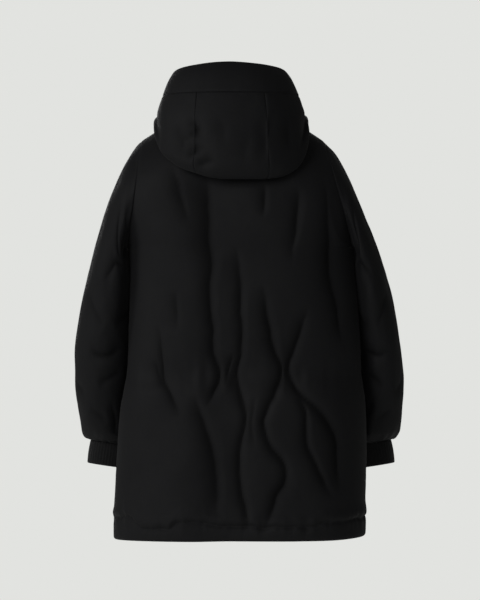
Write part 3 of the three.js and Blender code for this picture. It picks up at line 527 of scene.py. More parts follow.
def wovenShell():
    v = clothValues
    material, tree = startMaterial("matt woven polyamide")
    uv = addNode(tree, "ShaderNodeUVMap", {"uv_map": "cloth"})
    place3d = addNode(tree, "ShaderNodeTexCoord")
    patch = addNode(tree, "ShaderNodeTexNoise", inputs={"Scale": 1 / v["patch"], "Detail": 4.0},
                    links={"Vector": place3d.outputs["Object"]})
    colour = addNode(tree, "ShaderNodeMix", {"data_type": "RGBA"},
                     {"A": linear(v["dark"]), "B": linear(v["light"])}, {"Factor": patch.outputs["Fac"]})
    # painted shade: the cloth is mixed towards near black and its gloss lowered where the crease attribute is
    # high, as if the creases took no light
    crease = addNode(tree, "ShaderNodeAttribute", {"attribute_name": "crease"})
    share = addNode(tree, "ShaderNodeMath", {"operation": "MULTIPLY"}, {1: v["paintedCreaseShade"]},
                    {0: crease.outputs["Fac"]})
    shaded = addNode(tree, "ShaderNodeMix", {"data_type": "RGBA"}, {"B": linear(v["paintedShade"])},
                     {"A": colour.outputs["Result"], "Factor": share.outputs[0]})
    gloss = addNode(tree, "ShaderNodeMapRange", inputs={"To Min": v["gloss"], "To Max": v["paintedShadeGloss"]},
                    links={"Value": share.outputs[0]})
    rough = addNode(tree, "ShaderNodeMapRange",
                    inputs={"From Min": 0.3, "From Max": 0.7, "To Min": v["roughLow"],
                            "To Max": v["roughHigh"]}, links={"Value": patch.outputs["Fac"]})
    warp = addNode(tree, "ShaderNodeTexWave", {"bands_direction": "X"}, {"Scale": waveLength / v["thread"]},
                   {"Vector": uv.outputs["UV"]})
    weft = addNode(tree, "ShaderNodeTexWave", {"bands_direction": "Y"}, {"Scale": waveLength / v["thread"]},
                   {"Vector": uv.outputs["UV"]})
    weave = addNode(tree, "ShaderNodeMath", {"operation": "MULTIPLY"},
                    links={0: warp.outputs["Fac"], 1: weft.outputs["Fac"]})
    crinkle = addNode(tree, "ShaderNodeTexNoise",
                      inputs={"Scale": 1 / v["crinkle"], "Detail": 5.0, "Roughness": 0.6, "Distortion": 0.8},
                      links={"Vector": place3d.outputs["Object"]})
    large = addNode(tree, "ShaderNodeBump", inputs={"Strength": 0.6, "Distance": v["crinkleDepth"]},
                    links={"Height": crinkle.outputs["Fac"]})
    fine = addNode(tree, "ShaderNodeBump", inputs={"Strength": 0.5, "Distance": v["weaveDepth"]},
                   links={"Height": weave.outputs[0], "Normal": large.outputs[0]})
    # where the linked gloss is dropped, the shader's own one stays
    shader = addNode(tree, "ShaderNodeBsdfPrincipled",
                     inputs={"Sheen Weight": v["sheen"], "Sheen Roughness": v["sheenRough"],
                             "Specular IOR Level": v["gloss"]},
                     links={"Specular IOR Level": gloss.outputs[0], "Base Color": shaded.outputs["Result"],
                            "Roughness": rough.outputs[0], "Normal": fine.outputs[0]})
    closeMaterial(tree, shader)
    return material


# Rib knit of polyester and elastane: duller and darker than the shell, with loops along each rib
ribValues = {"dark": "#060607", "light": "#0b0b0c", "stitch": 0.0022, "fuzz": 0.0011, "loopDepth": 0.0005,
             "rough": 0.93, "sheen": 0.15, "gloss": 0.25}


def ribKnit():
    v = ribValues
    material, tree = startMaterial("rib knit polyester")
    uv = addNode(tree, "ShaderNodeUVMap", {"uv_map": "cloth"})
    loops = addNode(tree, "ShaderNodeTexWave", {"bands_direction": "Y", "wave_profile": "SAW"},
                    {"Scale": waveLength / v["stitch"], "Distortion": 0.6}, {"Vector": uv.outputs["UV"]})
    fuzz = addNode(tree, "ShaderNodeTexNoise", inputs={"Scale": 1 / v["fuzz"], "Detail": 3.0},
                   links={"Vector": uv.outputs["UV"]})
    colour = addNode(tree, "ShaderNodeMix", {"data_type": "RGBA"},
                     {"A": linear(v["dark"]), "B": linear(v["light"])}, {"Factor": fuzz.outputs["Fac"]})
    bump = addNode(tree, "ShaderNodeBump", inputs={"Strength": 0.7, "Distance": v["loopDepth"]},
                   links={"Height": loops.outputs["Fac"]})
    shader = addNode(tree, "ShaderNodeBsdfPrincipled",
                     inputs={"Roughness": v["rough"], "Sheen Weight": v["sheen"],
                             "Specular IOR Level": v["gloss"]},
                     links={"Base Color": colour.outputs["Result"], "Normal": bump.outputs[0]})
    closeMaterial(tree, shader)
    return material


# Woven polyester tape: matt, its slanting ribs drawn twice as coarse as real ones so that they show
tapeValues = {"dark": "#0f0f11", "light": "#19191c", "rib": 0.0012, "ribDepth": 0.0002, "rough": 0.85}


def wovenTape():
    v = tapeValues
    material, tree = startMaterial("woven polyester tape")
    place3d = addNode(tree, "ShaderNodeTexCoord")
    twill = addNode(tree, "ShaderNodeTexWave", {"bands_direction": "DIAGONAL"},
                    {"Scale": waveLength / v["rib"], "Distortion": 0.4},
                    {"Vector": place3d.outputs["Object"]})
    colour = addNode(tree, "ShaderNodeMix", {"data_type": "RGBA"},
                     {"A": linear(v["dark"]), "B": linear(v["light"])}, {"Factor": twill.outputs["Fac"]})
    bump = addNode(tree, "ShaderNodeBump", inputs={"Strength": 0.5, "Distance": v["ribDepth"]},
                   links={"Height": twill.outputs["Fac"]})
    shader = addNode(tree, "ShaderNodeBsdfPrincipled", inputs={"Roughness": v["rough"]},
                     links={"Base Color": colour.outputs["Result"], "Normal": bump.outputs[0]})
    closeMaterial(tree, shader)
    return material


# Injection-moulded acetal teeth: smooth, with a small satin gloss
acetalValues = {"black": "#161618", "grain": 0.0014, "roughLow": 0.34, "roughHigh": 0.48}


def mouldedAcetal():
    v = acetalValues
    material, tree = startMaterial("moulded acetal")
    place3d = addNode(tree, "ShaderNodeTexCoord")
    grain = addNode(tree, "ShaderNodeTexNoise", inputs={"Scale": 1 / v["grain"], "Detail": 2.0},
                    links={"Vector": place3d.outputs["Object"]})
    rough = addNode(tree, "ShaderNodeMapRange", inputs={"To Min": v["roughLow"], "To Max": v["roughHigh"]},
                    links={"Value": grain.outputs["Fac"]})
    shader = addNode(tree, "ShaderNodeBsdfPrincipled", inputs={"Base Color": linear(v["black"])},
                     links={"Roughness": rough.outputs[0]})
    closeMaterial(tree, shader)
    return material


# Bonded polyester thread: black, with a slight gloss that sets it off from the cloth
threadValues = {"black": "#101012", "twist": 0.00075, "twistDepth": 0.0001, "rough": 0.62, "gloss": 0.3}


def bondedThread():
    v = threadValues
    material, tree = startMaterial("bonded polyester thread")
    place3d = addNode(tree, "ShaderNodeTexCoord")
    twist = addNode(tree, "ShaderNodeTexWave", {"bands_direction": "DIAGONAL"},
                    {"Scale": waveLength / v["twist"]}, {"Vector": place3d.outputs["Object"]})
    bump = addNode(tree, "ShaderNodeBump", inputs={"Strength": 0.4, "Distance": v["twistDepth"]},
                   links={"Height": twist.outputs["Fac"]})
    shader = addNode(tree, "ShaderNodeBsdfPrincipled",
                     inputs={"Base Color": linear(v["black"]), "Roughness": v["rough"],
                             "Specular IOR Level": v["gloss"]}, links={"Normal": bump.outputs[0]})
    closeMaterial(tree, shader)
    return material


# Die-cast zinc with a blackened finish: dark grey metal, a little uneven in gloss
zincValues = {"dark": "#2c2c2f", "light": "#444448", "wear": 0.0024, "roughLow": 0.26, "roughHigh": 0.44}


def blackenedZinc():
    v = zincValues
    material, tree = startMaterial("blackened zinc")
    place3d = addNode(tree, "ShaderNodeTexCoord")
    wear = addNode(tree, "ShaderNodeTexNoise", inputs={"Scale": 1 / v["wear"], "Detail": 5.0},
                   links={"Vector": place3d.outputs["Object"]})
    colour = addNode(tree, "ShaderNodeMix", {"data_type": "RGBA"},
                     {"A": linear(v["dark"]), "B": linear(v["light"])}, {"Factor": wear.outputs["Fac"]})
    rough = addNode(tree, "ShaderNodeMapRange", inputs={"To Min": v["roughLow"], "To Max": v["roughHigh"]},
                    links={"Value": wear.outputs["Fac"]})
    shader = addNode(tree, "ShaderNodeBsdfPrincipled", inputs={"Metallic": 1.0},
                     links={"Base Color": colour.outputs["Result"], "Roughness": rough.outputs[0]})
    closeMaterial(tree, shader)
    return material


shellCloth = wovenShell()
cuffKnit = ribKnit()
zipTape = wovenTape()
toothPlastic = mouldedAcetal()
zipMetal = blackenedZinc()
thread = bondedThread()
print("materials made")

# Creases of the back: lines of points seen from behind, each with its width and depth
backFolds = [
    [(154, -446, 6, 3), (143, -520, 6, 6), (140, -558, 5, 7), (124, -603, 6, 7), (106, -640, 8, 4)],
    [(163, -515, 6, 3), (150, -552, 6, 6), (138, -578, 7, 4)],
    [(50, -140, 17, 5), (47, -290, 16, 6.5), (45, -395, 11, 7), (40, -500, 8, 8), (27, -552, 6, 9),
     (38, -584, 6, 8), (56, -620, 7, 4)],
    [(84, -592, 7, 4), (64, -640, 9, 6), (48, -690, 12, 6.5), (38, -740, 14, 6), (34, -800, 15, 5),
     (32, -850, 14, 3)],
    [(-4, -282, 9, 3), (-14, -350, 9, 6), (-17, -430, 8, 8), (-17, -500, 7, 9), (-12, -552, 5, 10),
     (-22, -609, 6, 8), (-28, -640, 6, 8), (-22, -672, 6, 8), (-16, -700, 6, 8), (-16, -771, 7, 8),
     (-27, -834, 7, 7), (-35, -880, 8, 5)],
    [(2, -500, 5, 4), (6, -535, 5, 6), (12, -570, 5, 4)],
    [(-62, -363, 9, 3), (-72, -416, 9, 6), (-77, -468, 8, 8), (-92, -508, 7, 9), (-105, -546, 5, 10),
     (-92, -580, 6, 9), (-76, -612, 6, 8.5), (-67, -645, 6, 8.5), (-71, -676, 6, 8.5), (-86, -706, 7, 8.5),
     (-106, -736, 7, 8), (-110, -771, 8, 8), (-91, -804, 8, 7.5), (-74, -846, 8, 6), (-67, -876, 8, 4)],
    [(-153, -405, 7, 3), (-141, -456, 7, 6), (-127, -500, 6, 8), (-117, -545, 5, 10), (-128, -570, 5, 8),
     (-150, -598, 6, 6), (-172, -618, 7, 6), (-194, -640, 9, 7), (-211, -680, 10, 7), (-213, -740, 11, 6),
     (-212, -800, 12, 3)],
    [(-132, -578, 5, 5), (-151, -624, 6, 7), (-154, -657, 7, 7.5), (-158, -699, 7, 7.5), (-170, -738, 7, 7.5),
     (-188, -775, 8, 7), (-206, -812, 9, 4)],
    [(-190, -145, 8, 3), (-195, -230, 10, 5), (-197, -300, 13, 7), (-200, -360, 11, 6), (-211, -405, 9, 6),
     (-220, -450, 8, 6), (-226, -490, 8, 3)],
    [(-136, -156, 11, 4), (-132, -230, 8, 6), (-119, -318, 6, 3)],
    [(134, -112, 12, 3), (108, -176, 13, 5), (84, -250, 12, 3)],
    [(124, -370, 8, 2), (118, -420, 7, 4), (114, -462, 8, 2)],
    [(-66, -152, 8, 4), (-66, -196, 6, 5), (-60, -226, 6, 2)],
    [(-44, -590, 6, 2), (-41, -650, 6, 3.5), (-45, -705, 7, 2)],
]
frontFolds = [
    [(150, -440, 8, 4), (134, -500, 7, 7), (128, -550, 6, 9), (142, -610, 7, 8), (158, -700, 9, 5)],
    [(66, -370, 9, 4), (70, -470, 8, 7), (80, -548, 6, 9), (66, -620, 7, 8), (50, -710, 9, 5)],
    [(205, -300, 14, 3), (202, -400, 12, 5), (190, -520, 10, 4)],
    [(122, -170, 12, 3), (104, -260, 12, 5), (96, -340, 10, 3)],
    [(-148, -460, 8, 4), (-138, -510, 7, 7), (-131, -552, 6, 9), (-148, -630, 7, 8), (-168, -730, 9, 5)],
    [(-70, -340, 9, 4), (-76, -450, 8, 7), (-84, -552, 6, 9), (-70, -610, 7, 8), (-60, -680, 9, 4)],
    [(-200, -260, 14, 3), (-214, -400, 12, 5), (-222, -510, 10, 3)],
    [(-128, -160, 12, 3), (-112, -250, 12, 5), (-104, -310, 10, 3)],
    [(28, -600, 8, 3), (34, -690, 8, 6), (30, -800, 10, 3)],
    [(-30, -420, 8, 3), (-34, -520, 8, 6), (-30, -590, 8, 3)],
]
# The stitched line above the hem: how high it lies, from the right side to the left one
hemLine = np.array([(-275, 40), (-226, 39), (-184, 37), (-159, 29), (-75, 31), (20, 36), (92, 44),
                    (118, 40), (131, 26), (186, 26), (208, 46), (224, 52), (250, 44)], float)
bodyValues = {
    "thickness": 9.5, "across": 216, "lowerRows": 92, "lowerHeight": 615, "upperRows": 46, "upperHeight": 290,
    "warp": 3.5, "fineWarp": 0.3, "creaseShare": 0.76, "bump": 1.3, "fineBump": 0.35,
    "waistZ": -552, "waistReach": 30, "gather": 2.4, "gatherSize": 14, "drawnIn": 1.6,
    "hollowX": 22, "hollowWidth": 58, "hollowDepth": 7, "hollowLean": 0.05, "hollowMiddle": -500,
    "puffX": -206, "puffWidth": 62, "puffHeight": 9, "puffTop": -120, "puffFade": 80,
    "lineWave": 3, "lineFineWave": 1.2, "lineDepth": 4.6, "lineWidth": 3.6,
    "ridge": 2.6, "ridgeAt": 13, "ridgeWidth": 11, "linePucker": 1.9, "sidePucker": 1.3,
    "sideRoom": 0.5, "sideSlope": 0.15, "sideFade": 30, "zipStitch": 7,
}


def bodyPush(face, base, along, fromHem, nearSide):
    v = bodyValues
    x, z = base[..., 0], base[..., 2]
    a = x + v["warp"] * softNoise(x, z, 46, 11 + face)
    a += v["fineWarp"] * v["warp"] * softNoise(x, z, 17, 21 + face)
    b = z + v["warp"] * softNoise(x, z, 60, 31 + face)
    # deep is the painted crease shade mask
    push, lap, deep = creases(backFolds if face > 0 else frontFolds, a, b)
    push *= v["creaseShare"]
    push += v["bump"] * softNoise(x, z * 0.5, 66, 41 + face)
    push += v["fineBump"] * softNoise(x, z * 0.6, 25, 51 + face)
    # gathers where a cord draws the waist in
    waist = np.exp(-((z - v["waistZ"]) / v["waistReach"]) ** 2)
    push += waist * (v["gather"] * softNoise(x, z * 0.2, v["gatherSize"], 61 + face) - v["drawnIn"])
    if face > 0:
        hollowX = v["hollowX"] + v["hollowLean"] * (z - v["hollowMiddle"])
        hollow = np.exp(-(((x - hollowX) / v["hollowWidth"]) ** 2))
        puff = np.exp(-(((x - v["puffX"]) / v["puffWidth"]) ** 2))
        puff = puff * np.clip((v["puffTop"] - z) / v["puffFade"], 0, 1)
        push += v["puffHeight"] * puff - v["hollowDepth"] * hollow
    push += pucker(nearSide, fromHem, v["sidePucker"], 18, 17, 91 + face)
    wave = v["lineWave"] * softNoise(along, along * 0, 30, 71 + face)
    wave += v["lineFineWave"] * softNoise(along, along * 0, 11, 75 + face)
    aboveLine = fromHem - np.interp(x, hemLine[:, 0], hemLine[:, 1]) - wave
    push -= v["lineDepth"] * np.exp(-(np.abs(aboveLine) / v["lineWidth"]) ** 1.4)
    push += v["ridge"] * np.exp(-((aboveLine - v["ridgeAt"]) / v["ridgeWidth"]) ** 2)
    push += pucker(np.abs(aboveLine), along, v["linePucker"], 22, 15, 81 + face)
    push = np.minimum(push, v["sideRoom"] + v["sideSlope"] * nearSide)
    return push, lap * np.clip(nearSide / v["sideFade"], 0, 1), deep, aboveLine


seamLines = []  # where rows of stitches run: points of the cloth and the way out of it


def traceLine(points, normals, height, across=False):  # where the height crosses nought, up each column
    if across:
        points, normals, height = points.transpose(1, 0, 2), normals.transpose(1, 0, 2), height.T
    rows = np.arange(len(height))
    at = np.array([np.interp(0, height[:, k], rows) for k in range(height.shape[1])])
    low = np.minimum(at.astype(int), len(rows) - 2)
    share = (at - low)[:, None]
    column = np.arange(len(at))
    outwards = unit(mix(normals[low, column], normals[low + 1, column], share))
    return mix(points[low, column], points[low + 1, column], share), outwards


def bodyPanel(name, face, columns, rows, zipSide=0):
    u, level = np.meshgrid(columns, rows)
    if zipSide:
        probe = 0.05  # near enough to the middle that the width grows evenly up to it
        middle = bodyPoint(face, np.zeros(level.shape), level)
        reach = bodyPoint(face, np.full(level.shape, probe * zipSide), level)[..., 0]
        reach = np.abs(reach - readTable(bodyRows, "z", middle[..., 2])["shift"])
        start = probe * zipGap / reach
        u = zipSide * mix(start, 1, np.abs(u))
    base = bodyPoint(face, u, level)
    normal = gridNormals(base, False, np.array([-10, sideY, -450]))  # away from the coat's own middle
    fromLeft = lengths(base, 1)
    fromHem = lengths(base, 0)
    toRight = fromLeft[:, -1:] - fromLeft
    toTop = fromHem[-1:] - fromHem
    side = np.where(u < 0, -1, 1)
    atSide = place(-side, 0, 0) * np.ones(u.shape)[..., None]
    upper = np.clip((level - 0.96) / 0.08, 0, 1)[..., None]
    edgeInward = mix(atSide, armholeInward(base, side), upper)
    onNeck = (np.abs(u) < neckShare)[..., None]
    neckIn = unit(unit(place(-base[..., 0], -(base[..., 1] - sideY), 0)) + np.array([0, 0, -0.3]))
    topInward = np.where(onNeck, neckIn, np.array([0, 0, -1.0]))
    sideSink = mix(0.2, 2.0, upper[..., 0])
    edges = [seam(toTop, topInward), seam(toRight, edgeInward, sideSink)]
    edges.append(seam(fromLeft, sink=2.8, thick=5.0) if zipSide else seam(fromLeft, edgeInward, sideSink))
    edges.append(freeEdge(fromHem, bodyValues["thickness"]))
    nearSide = toRight if zipSide else np.minimum(toRight, fromLeft)
    push, lap, deep, aboveLine = bodyPush(face, base, fromLeft, fromHem, nearSide)
    if zipSide:
        lap = zipSide * lap * np.clip(fromLeft / bodyValues["sideFade"], 0, 1)
    base = slide(base, lap * np.clip(toTop / bodyValues["sideFade"], 0, 1))
    outer, inner = padWall(base, normal, push, bodyValues["thickness"], edges)
    seamLines.append(traceLine(outer, normal, aboveLine))
    if zipSide:
        seamLines.append(traceLine(outer, normal, fromLeft - bodyValues["zipStitch"], True))
    # the painted crease shade goes to the cloth's colour
    return wallMesh(name, outer, inner, False, deep)


def bodyRowsAt():
    v = bodyValues
    nearHem = np.concatenate([besideEdge, np.arange(7.4, 70, 2.9)]) / v["lowerHeight"]
    low = np.concatenate([nearHem, np.linspace(nearHem[-1], 1, v["lowerRows"])[1:]])
    high = spread(1, 3, v["upperRows"], v["upperHeight"], False, True)
    return np.concatenate([low[:-1], high])


levels = bodyRowsAt()
acrossBack = spread(-1, 1, bodyValues["across"], 720)
mesh = bodyPanel("back_panel", 1, acrossBack, levels)
addPiece("back_panel", mesh, shellCloth, "coat", ["back"])
for name, side in (("left", 1), ("right", -1)):
    acrossFront = spread(0, 1, bodyValues["across"] // 2, 360)
    mesh = bodyPanel("front_panel_" + name, -1, acrossFront, levels, side)
    addPiece("front_panel_" + name, mesh, shellCloth, "coat",
                                       ["front_" + name])
print("body panels made")

# Creases round a sleeve: lines of degrees and rings, each with its width and depth
sleeveFolds = [
    [(62, 2.2, 12, 2), (92, 3.4, 11, 4.5), (118, 4.6, 9, 3)],
    [(132, 4.2, 9, 4), (104, 5.3, 8, 6), (76, 6.5, 9, 4)],
    [(40, 7.4, 10, 2.5), (66, 8.0, 9, 4), (96, 8.6, 9, 2.5)],
    [(140, 9.4, 7, 5), (112, 9.9, 7, 6.5), (88, 10.0, 7, 6), (62, 9.7, 8, 3)],
    [(134, 10.8, 8, 4), (108, 11.3, 7, 5), (84, 11.7, 8, 3)],
    [(214, 9.0, 9, 4), (252, 9.6, 8, 7), (296, 10.2, 9, 4)],
    [(232, 10.8, 9, 4), (266, 11.4, 8, 6), (302, 12.1, 9, 3)],
    [(232, 5.0, 11, 3), (258, 5.8, 10, 5), (286, 6.8, 11, 3)],
    [(18, 11.4, 9, 2.5), (38, 11.8, 8, 4), (60, 12.1, 9, 2.5)],
    [(150, 1.0, 9, 3), (142, 2.4, 8, 5.5), (128, 3.8, 8, 4)],
    [(60, 12.8, 8, 2.5), (82, 13.2, 8, 3.5), (104, 13.5, 8, 2.5)],
    [(160, 7.0, 11, 2.5), (142, 7.7, 10, 4.5), (118, 8.5, 10, 2.5)],
    [(112, 12.4, 8, 3), (124, 13.4, 8, 4), (116, 14.4, 8, 3)],
]
sleeveValues = {
    "thickness": 7.5, "columns": 150, "rows": 150, "radius": 80, "ring": 42, "warp": 4, "creaseShare": 0.8,
    "puff": {1: 2.6, -1: 3.8}, "bump": 1.5, "fineBump": 0.6, "gather": 2.2, "gatherAt": 10, "gatherReach": 30,
    "capPucker": 1.2, "capReach": 26, "room": 0.5, "roomSlope": 0.11, "touchingWidth": 42,
    "lean": {1: 3.2, -1: 1.5}, "underarm": 4.4, "underarmAt": 2.2, "underarmReach": 1.8,
    "lapShare": 0.8, "lapFade": 30, "paintedCreaseShade": 0.7,
}


def sleevePanel(side):
    v = sleeveValues
    at = lastRing * spread(0, 1, v["rows"], 720)
    share = at / lastRing
    at = lastRing * mix(share, share ** 1.15, 1 - share)
    angle = np.arange(v["columns"]) * 360 / v["columns"] * degree
    angle, at = np.meshgrid(angle, at)
    base = sleevePoint(side, at, angle)
    centre = (sleevePoint(side, at, at * 0) + sleevePoint(side, at, at * 0 + 180 * degree)) / 2
    normal = gridNormals(base, True, centre)
    fromTop = lengths(base, 0)
    toCuff = fromTop[-1:] - fromTop
    a = angle * v["radius"]
    b = at * v["ring"]
    around = 12
    girth = 2 * math.pi * v["radius"]
    size = girth / around
    warpA = a + v["warp"] * softNoise(a, b, size, 103 + side, around)
    warpB = b + v["warp"] * softNoise(a, b, size, 107 + side, around)
    folds = []
    for line in sleeveFolds:
        for turn in (-girth, 0, girth):
            folds.append([(p[0] * degree * v["radius"] + turn, p[1] * v["ring"], p[2], p[3]) for p in line])
    # the padding fills the sleeve from the fourth ring on, down to the gathers at the cuff
    puffed = v["puff"][side] * np.clip((at - 3) / 5, 0, 1) * (1 - np.clip((at - 14.4) / 1.6, 0, 1))
    crease, lap, deep = creases(folds, warpA, warpB, -side)
    push = v["creaseShare"] * crease + puffed
    push += v["bump"] * softNoise(a, b * 0.8, size, 113 + side, around)
    push += v["fineBump"] * softNoise(a, b * 0.8, size / 2, 117 + side, 2 * around)
    gather = v["gather"] * np.exp(-((toCuff - v["gatherAt"]) / v["gatherReach"]) ** 2)
    push += gather * softNoise(a, b * 0.1, size / 3, 121 + side, 3 * around)
    cap = v["capPucker"] * np.exp(-(fromTop / v["capReach"]) ** 2)
    push += cap * softNoise(a, b * 0.3, size / 2, 127 + side, 2 * around)
    inside = np.abs(a - math.pi * v["radius"])  # the side that nearly touches the body
    touching = np.exp(-(inside / v["touchingWidth"]) ** 2) * np.clip((at - 0.5) / 1.2, 0, 1)
    lean = v["lean"][side] + v["underarm"] * np.exp(-((at - v["underarmAt"]) / v["underarmReach"]) ** 2)
    push = mix(np.minimum(push, v["room"] + v["roomSlope"] * inside), lean, touching)
    ends = np.clip(fromTop / v["lapFade"], 0, 1) * np.clip(toCuff / v["lapFade"], 0, 1)
    base = slide(base, v["lapShare"] * lap * ends * (1 - touching), True)
    edges = [seam(fromTop, armholeInward(base, side), 2.2), seam(toCuff, sink=0.6, thick=4.0, reach=5.0)]
    outer, inner = padWall(base, normal, push, v["thickness"], edges)
    # the painted crease shade, scaled by its share, goes to the cloth's colour
    return wallMesh("sleeve_panel", outer, inner, True, v["paintedCreaseShade"] * deep)


cuffValues = {"length": 49, "halfX": 39, "halfY": 26, "power": 2.2, "ribs": 40, "ribHeight": 0.3,
              "belly": 1.2, "forward": 5, "thickness": 3.2, "perRib": 6, "rows": 16, "gap": 0.3,
              "edgeRound": 1.2, "edgeShare": 0.02}


def cuffPanel(side):
    v = cuffValues
    ends = [sleevePoint(side, np.array(float(lastRing)), np.array(turn)) for turn in (0.0, math.pi)]
    centre = (ends[0] + ends[1]) / 2
    acrossAxis = unit(ends[0] - centre)
    deepAxis = np.array([0.0, 1.0, 0.0])
    down = unit(np.cross(deepAxis, acrossAxis) * side)
    columns = v["ribs"] * v["perRib"]
    share = np.concatenate([[0, 0.01, 0.03], np.linspace(0.08, 0.94, v["rows"]), [0.975, 1]])
    angle, share = np.meshgrid(np.arange(columns) * 360 / columns * degree, share)
    across, deep = roundSection(angle, v["power"])

    def ringAt(grow):
        belly = v["belly"] * np.sin(180 * degree * share)
        x = (v["halfX"] + grow + belly) * deep
        y = (v["halfY"] + grow + belly) * across - v["forward"] * share
        z = v["gap"] + v["length"] * share
        return centre + x[..., None] * acrossAxis + y[..., None] * deepAxis + z[..., None] * down

    ribs = v["ribHeight"] * np.cos(v["ribs"] * angle)
    lowEdge = np.exp(-((1 - share) / v["edgeShare"]) ** 2)
    highEdge = np.exp(-(share / v["edgeShare"]) ** 2)
    edge = v["edgeRound"] * (lowEdge + 0.5 * highEdge)
    return wallMesh("cuff_panel", ringAt(ribs - edge), ringAt(edge * 0.8 - v["thickness"]), True)


for name, side in (("left", 1), ("right", -1)):
    mesh = sleevePanel(side)
    addPiece("sleeve_panel_" + name, mesh, shellCloth, "coat",
                                        ["sleeve_" + name])
    mesh = cuffPanel(side)
    addPiece("rib_cuff_" + name, mesh, cuffKnit, "coat",
                                      ["cuff_" + name])
print("sleeves and cuffs made")


# The hood lies on the back, clear of it
def restSamples():
    found = []
    for face in (1, -1):
        u, level = np.meshgrid(np.linspace(-1, 1, 121), np.linspace(1.4, 2.99, 51))
        points = bodyPoint(face, u, level)
        normals = gridNormals(points, False, np.array([0, sideY, -250]))
        found.append((points.reshape(-1, 3), normals.reshape(-1, 3)))
    return np.concatenate([f[0] for f in found]), np.concatenate([f[1] for f in found])


restPoints, restNormals = restSamples()
restTree = kdtree.KDTree(len(restPoints))
for number, spot in enumerate(restPoints):
    restTree.insert(spot, number)
restTree.balance()


def keepClear(points, gap):
    flat = points.reshape(-1, 3)
    nearest = np.array([restTree.find(p)[1] for p in flat])
    height = np.sum((flat - restPoints[nearest]) * restNormals[nearest], axis=1)
    lack = np.maximum(np.broadcast_to(gap, points.shape[:-1]).ravel() - height, 0)
    return (flat + restNormals[nearest] * lack[:, None]).reshape(points.shape)


def hoodNeckEdge(along, height):
    side = np.where(along < 0, -1, 1)
    beta = hood["frontBeta"] * np.abs(along)
    top = readTable(collarRows, "beta", beta)["top"]
    found = collarPoint(side, beta, height / (top - neckPoint(side, beta)[..., 2]))
    return found + unit(place(found[..., 0], found[..., 1] - sideY, 0)) * hood["offCollar"]


def hoodPoint(along, at):
    row = readTable(hoodRows, "at", np.minimum(at, hood["last"]))
    side = np.where(along < 0, -1, 1)
    share = np.abs(along)
    turn = np.minimum(share / hood["sideShare"], 1) * 90 * degree
    across, deep = roundSection(turn, hood["power"])
    fall = (1 - np.cos(turn)) ** np.where(side > 0, row["fallLeft"], row["fallRight"])
    forward = np.clip((share - hood["sideShare"]) / (1 - hood["sideShare"]), 0, 1) * 90 * degree
    before = share > hood["sideShare"]
    x = np.where(before, mix(row["frontX"], row["half"], np.cos(forward)), row["half"] * across)
    y = np.where(before, mix(hood["widestY"], row["frontY"], np.sin(forward)),
                 mix(hood["widestY"], row["back"], deep))
    z = np.where(before, mix(row["side"], row["front"], np.sin(forward)), mix(row["high"], row["side"], fall))
    x = side * x + hood["shiftX"] * (1 - np.minimum(at, hood["last"]) / hood["last"])
    low = np.clip(at - 3, 0, 1)  # its sides lie a little flatter where it folds under
    rightIn = hood["flatRight"] * np.maximum(-hood["rightFrom"] - x, 0)
    leftIn = hood["flatLeft"] * np.maximum(x - hood["leftFrom"], 0)
    x = x + low * (rightIn - leftIn)
    folded = np.clip((at - hood["overUntil"]) / (hood["underFrom"] - hood["overUntil"]), 0, 1)
    found = keepClear(place(x, y, z), mix(hood["over"], hood["under"], folded))
    past = np.clip(at - hood["last"], 0, 1)[..., None]
    inwards = mix(found, hoodNeckEdge(along, hood["edgeHeight"]), past)
    inwards = np.where(past < 0.999, keepClear(inwards, hood["under"]), inwards)
    return np.where(past > 0, inwards, found)


hoodValues = {
    "thickness": 5.5, "brimRows": 9, "crownRows": 40, "sideColumns": 34, "middleColumns": 18,
    "warp": 3, "bump": 1.1, "fineBump": 0.35, "underRoom": 0.8, "brimShare": 0.4, "brimPucker": 1.2,
    "crownPucker": 1.4, "sidePucker": 1.5, "paintedCreaseShade": 0.7, "seamStitch": 4.5,
}
# Creases of the hood, seen flat: along its width and down from its free edge
hoodFolds = [
    [(92, 124, 8, 3), (74, 150, 7, 6), (62, 176, 7, 4)],
    [(62, 152, 6, 4), (82, 158, 6, 6.5), (104, 172, 7, 3)],
    [(56, 186, 6, 4), (78, 196, 6, 7), (100, 212, 7, 3.5)],
    [(34, 214, 6, 3.5), (56, 222, 6, 6), (76, 232, 7, 3)],
    [(120, 130, 9, 2), (108, 166, 8, 4), (100, 205, 8, 3)],
    [(-84, 120, 8, 2), (-76, 170, 7, 4), (-70, 226, 8, 3)],
    [(-58, 134, 7, 2), (-66, 156, 6, 4), (-60, 180, 7, 2)],
    [(-120, 112, 9, 2), (-128, 150, 8, 4), (-134, 190, 8, 3)],
    [(-40, 150, 10, 1), (-30, 190, 9, 2.5), (-22, 226, 9, 2)],
    [(24, 124, 10, 1), (16, 156, 9, 2.5), (12, 190, 9, 1)],
]


def hoodGrid():
    v = hoodValues
    brim = spread(0, 2, v["brimRows"], 72)
    crown = spread(2, 9, v["crownRows"], 300)
    rows = np.concatenate([brim, crown[1:]])
    middle = spread(-1, 1, v["middleColumns"], 140) * hood["panelShare"]
    right = spread(-1, -hood["panelShare"], v["sideColumns"], 250)
    columns = np.concatenate([right[:-1], middle, -right[::-1][1:]])
    along, at = np.meshgrid(columns, rows)
    base = hoodPoint(along, at)
    normal = gridNormals(base, False, np.array([0, 60, 0]))
    cuts = {"brim": len(brim) - 1, "start": len(right) - 1, "end": len(right) + len(middle) - 2}
    return at, base, normal, cuts


hoodAt, hoodBase, hoodNormal, hoodCuts = hoodGrid()
# outwards is up at the back of the hood, and down and back under its fold
if hoodNormal[len(hoodNormal) // 2, hoodNormal.shape[1] // 2, 1] < 0:
    hoodNormal = -hoodNormal
hoodAcross = lengths(hoodBase, 1)
hoodAcross -= hoodAcross[:, hoodAcross.shape[1] // 2][:, None]
hoodDown = lengths(hoodBase, 0)


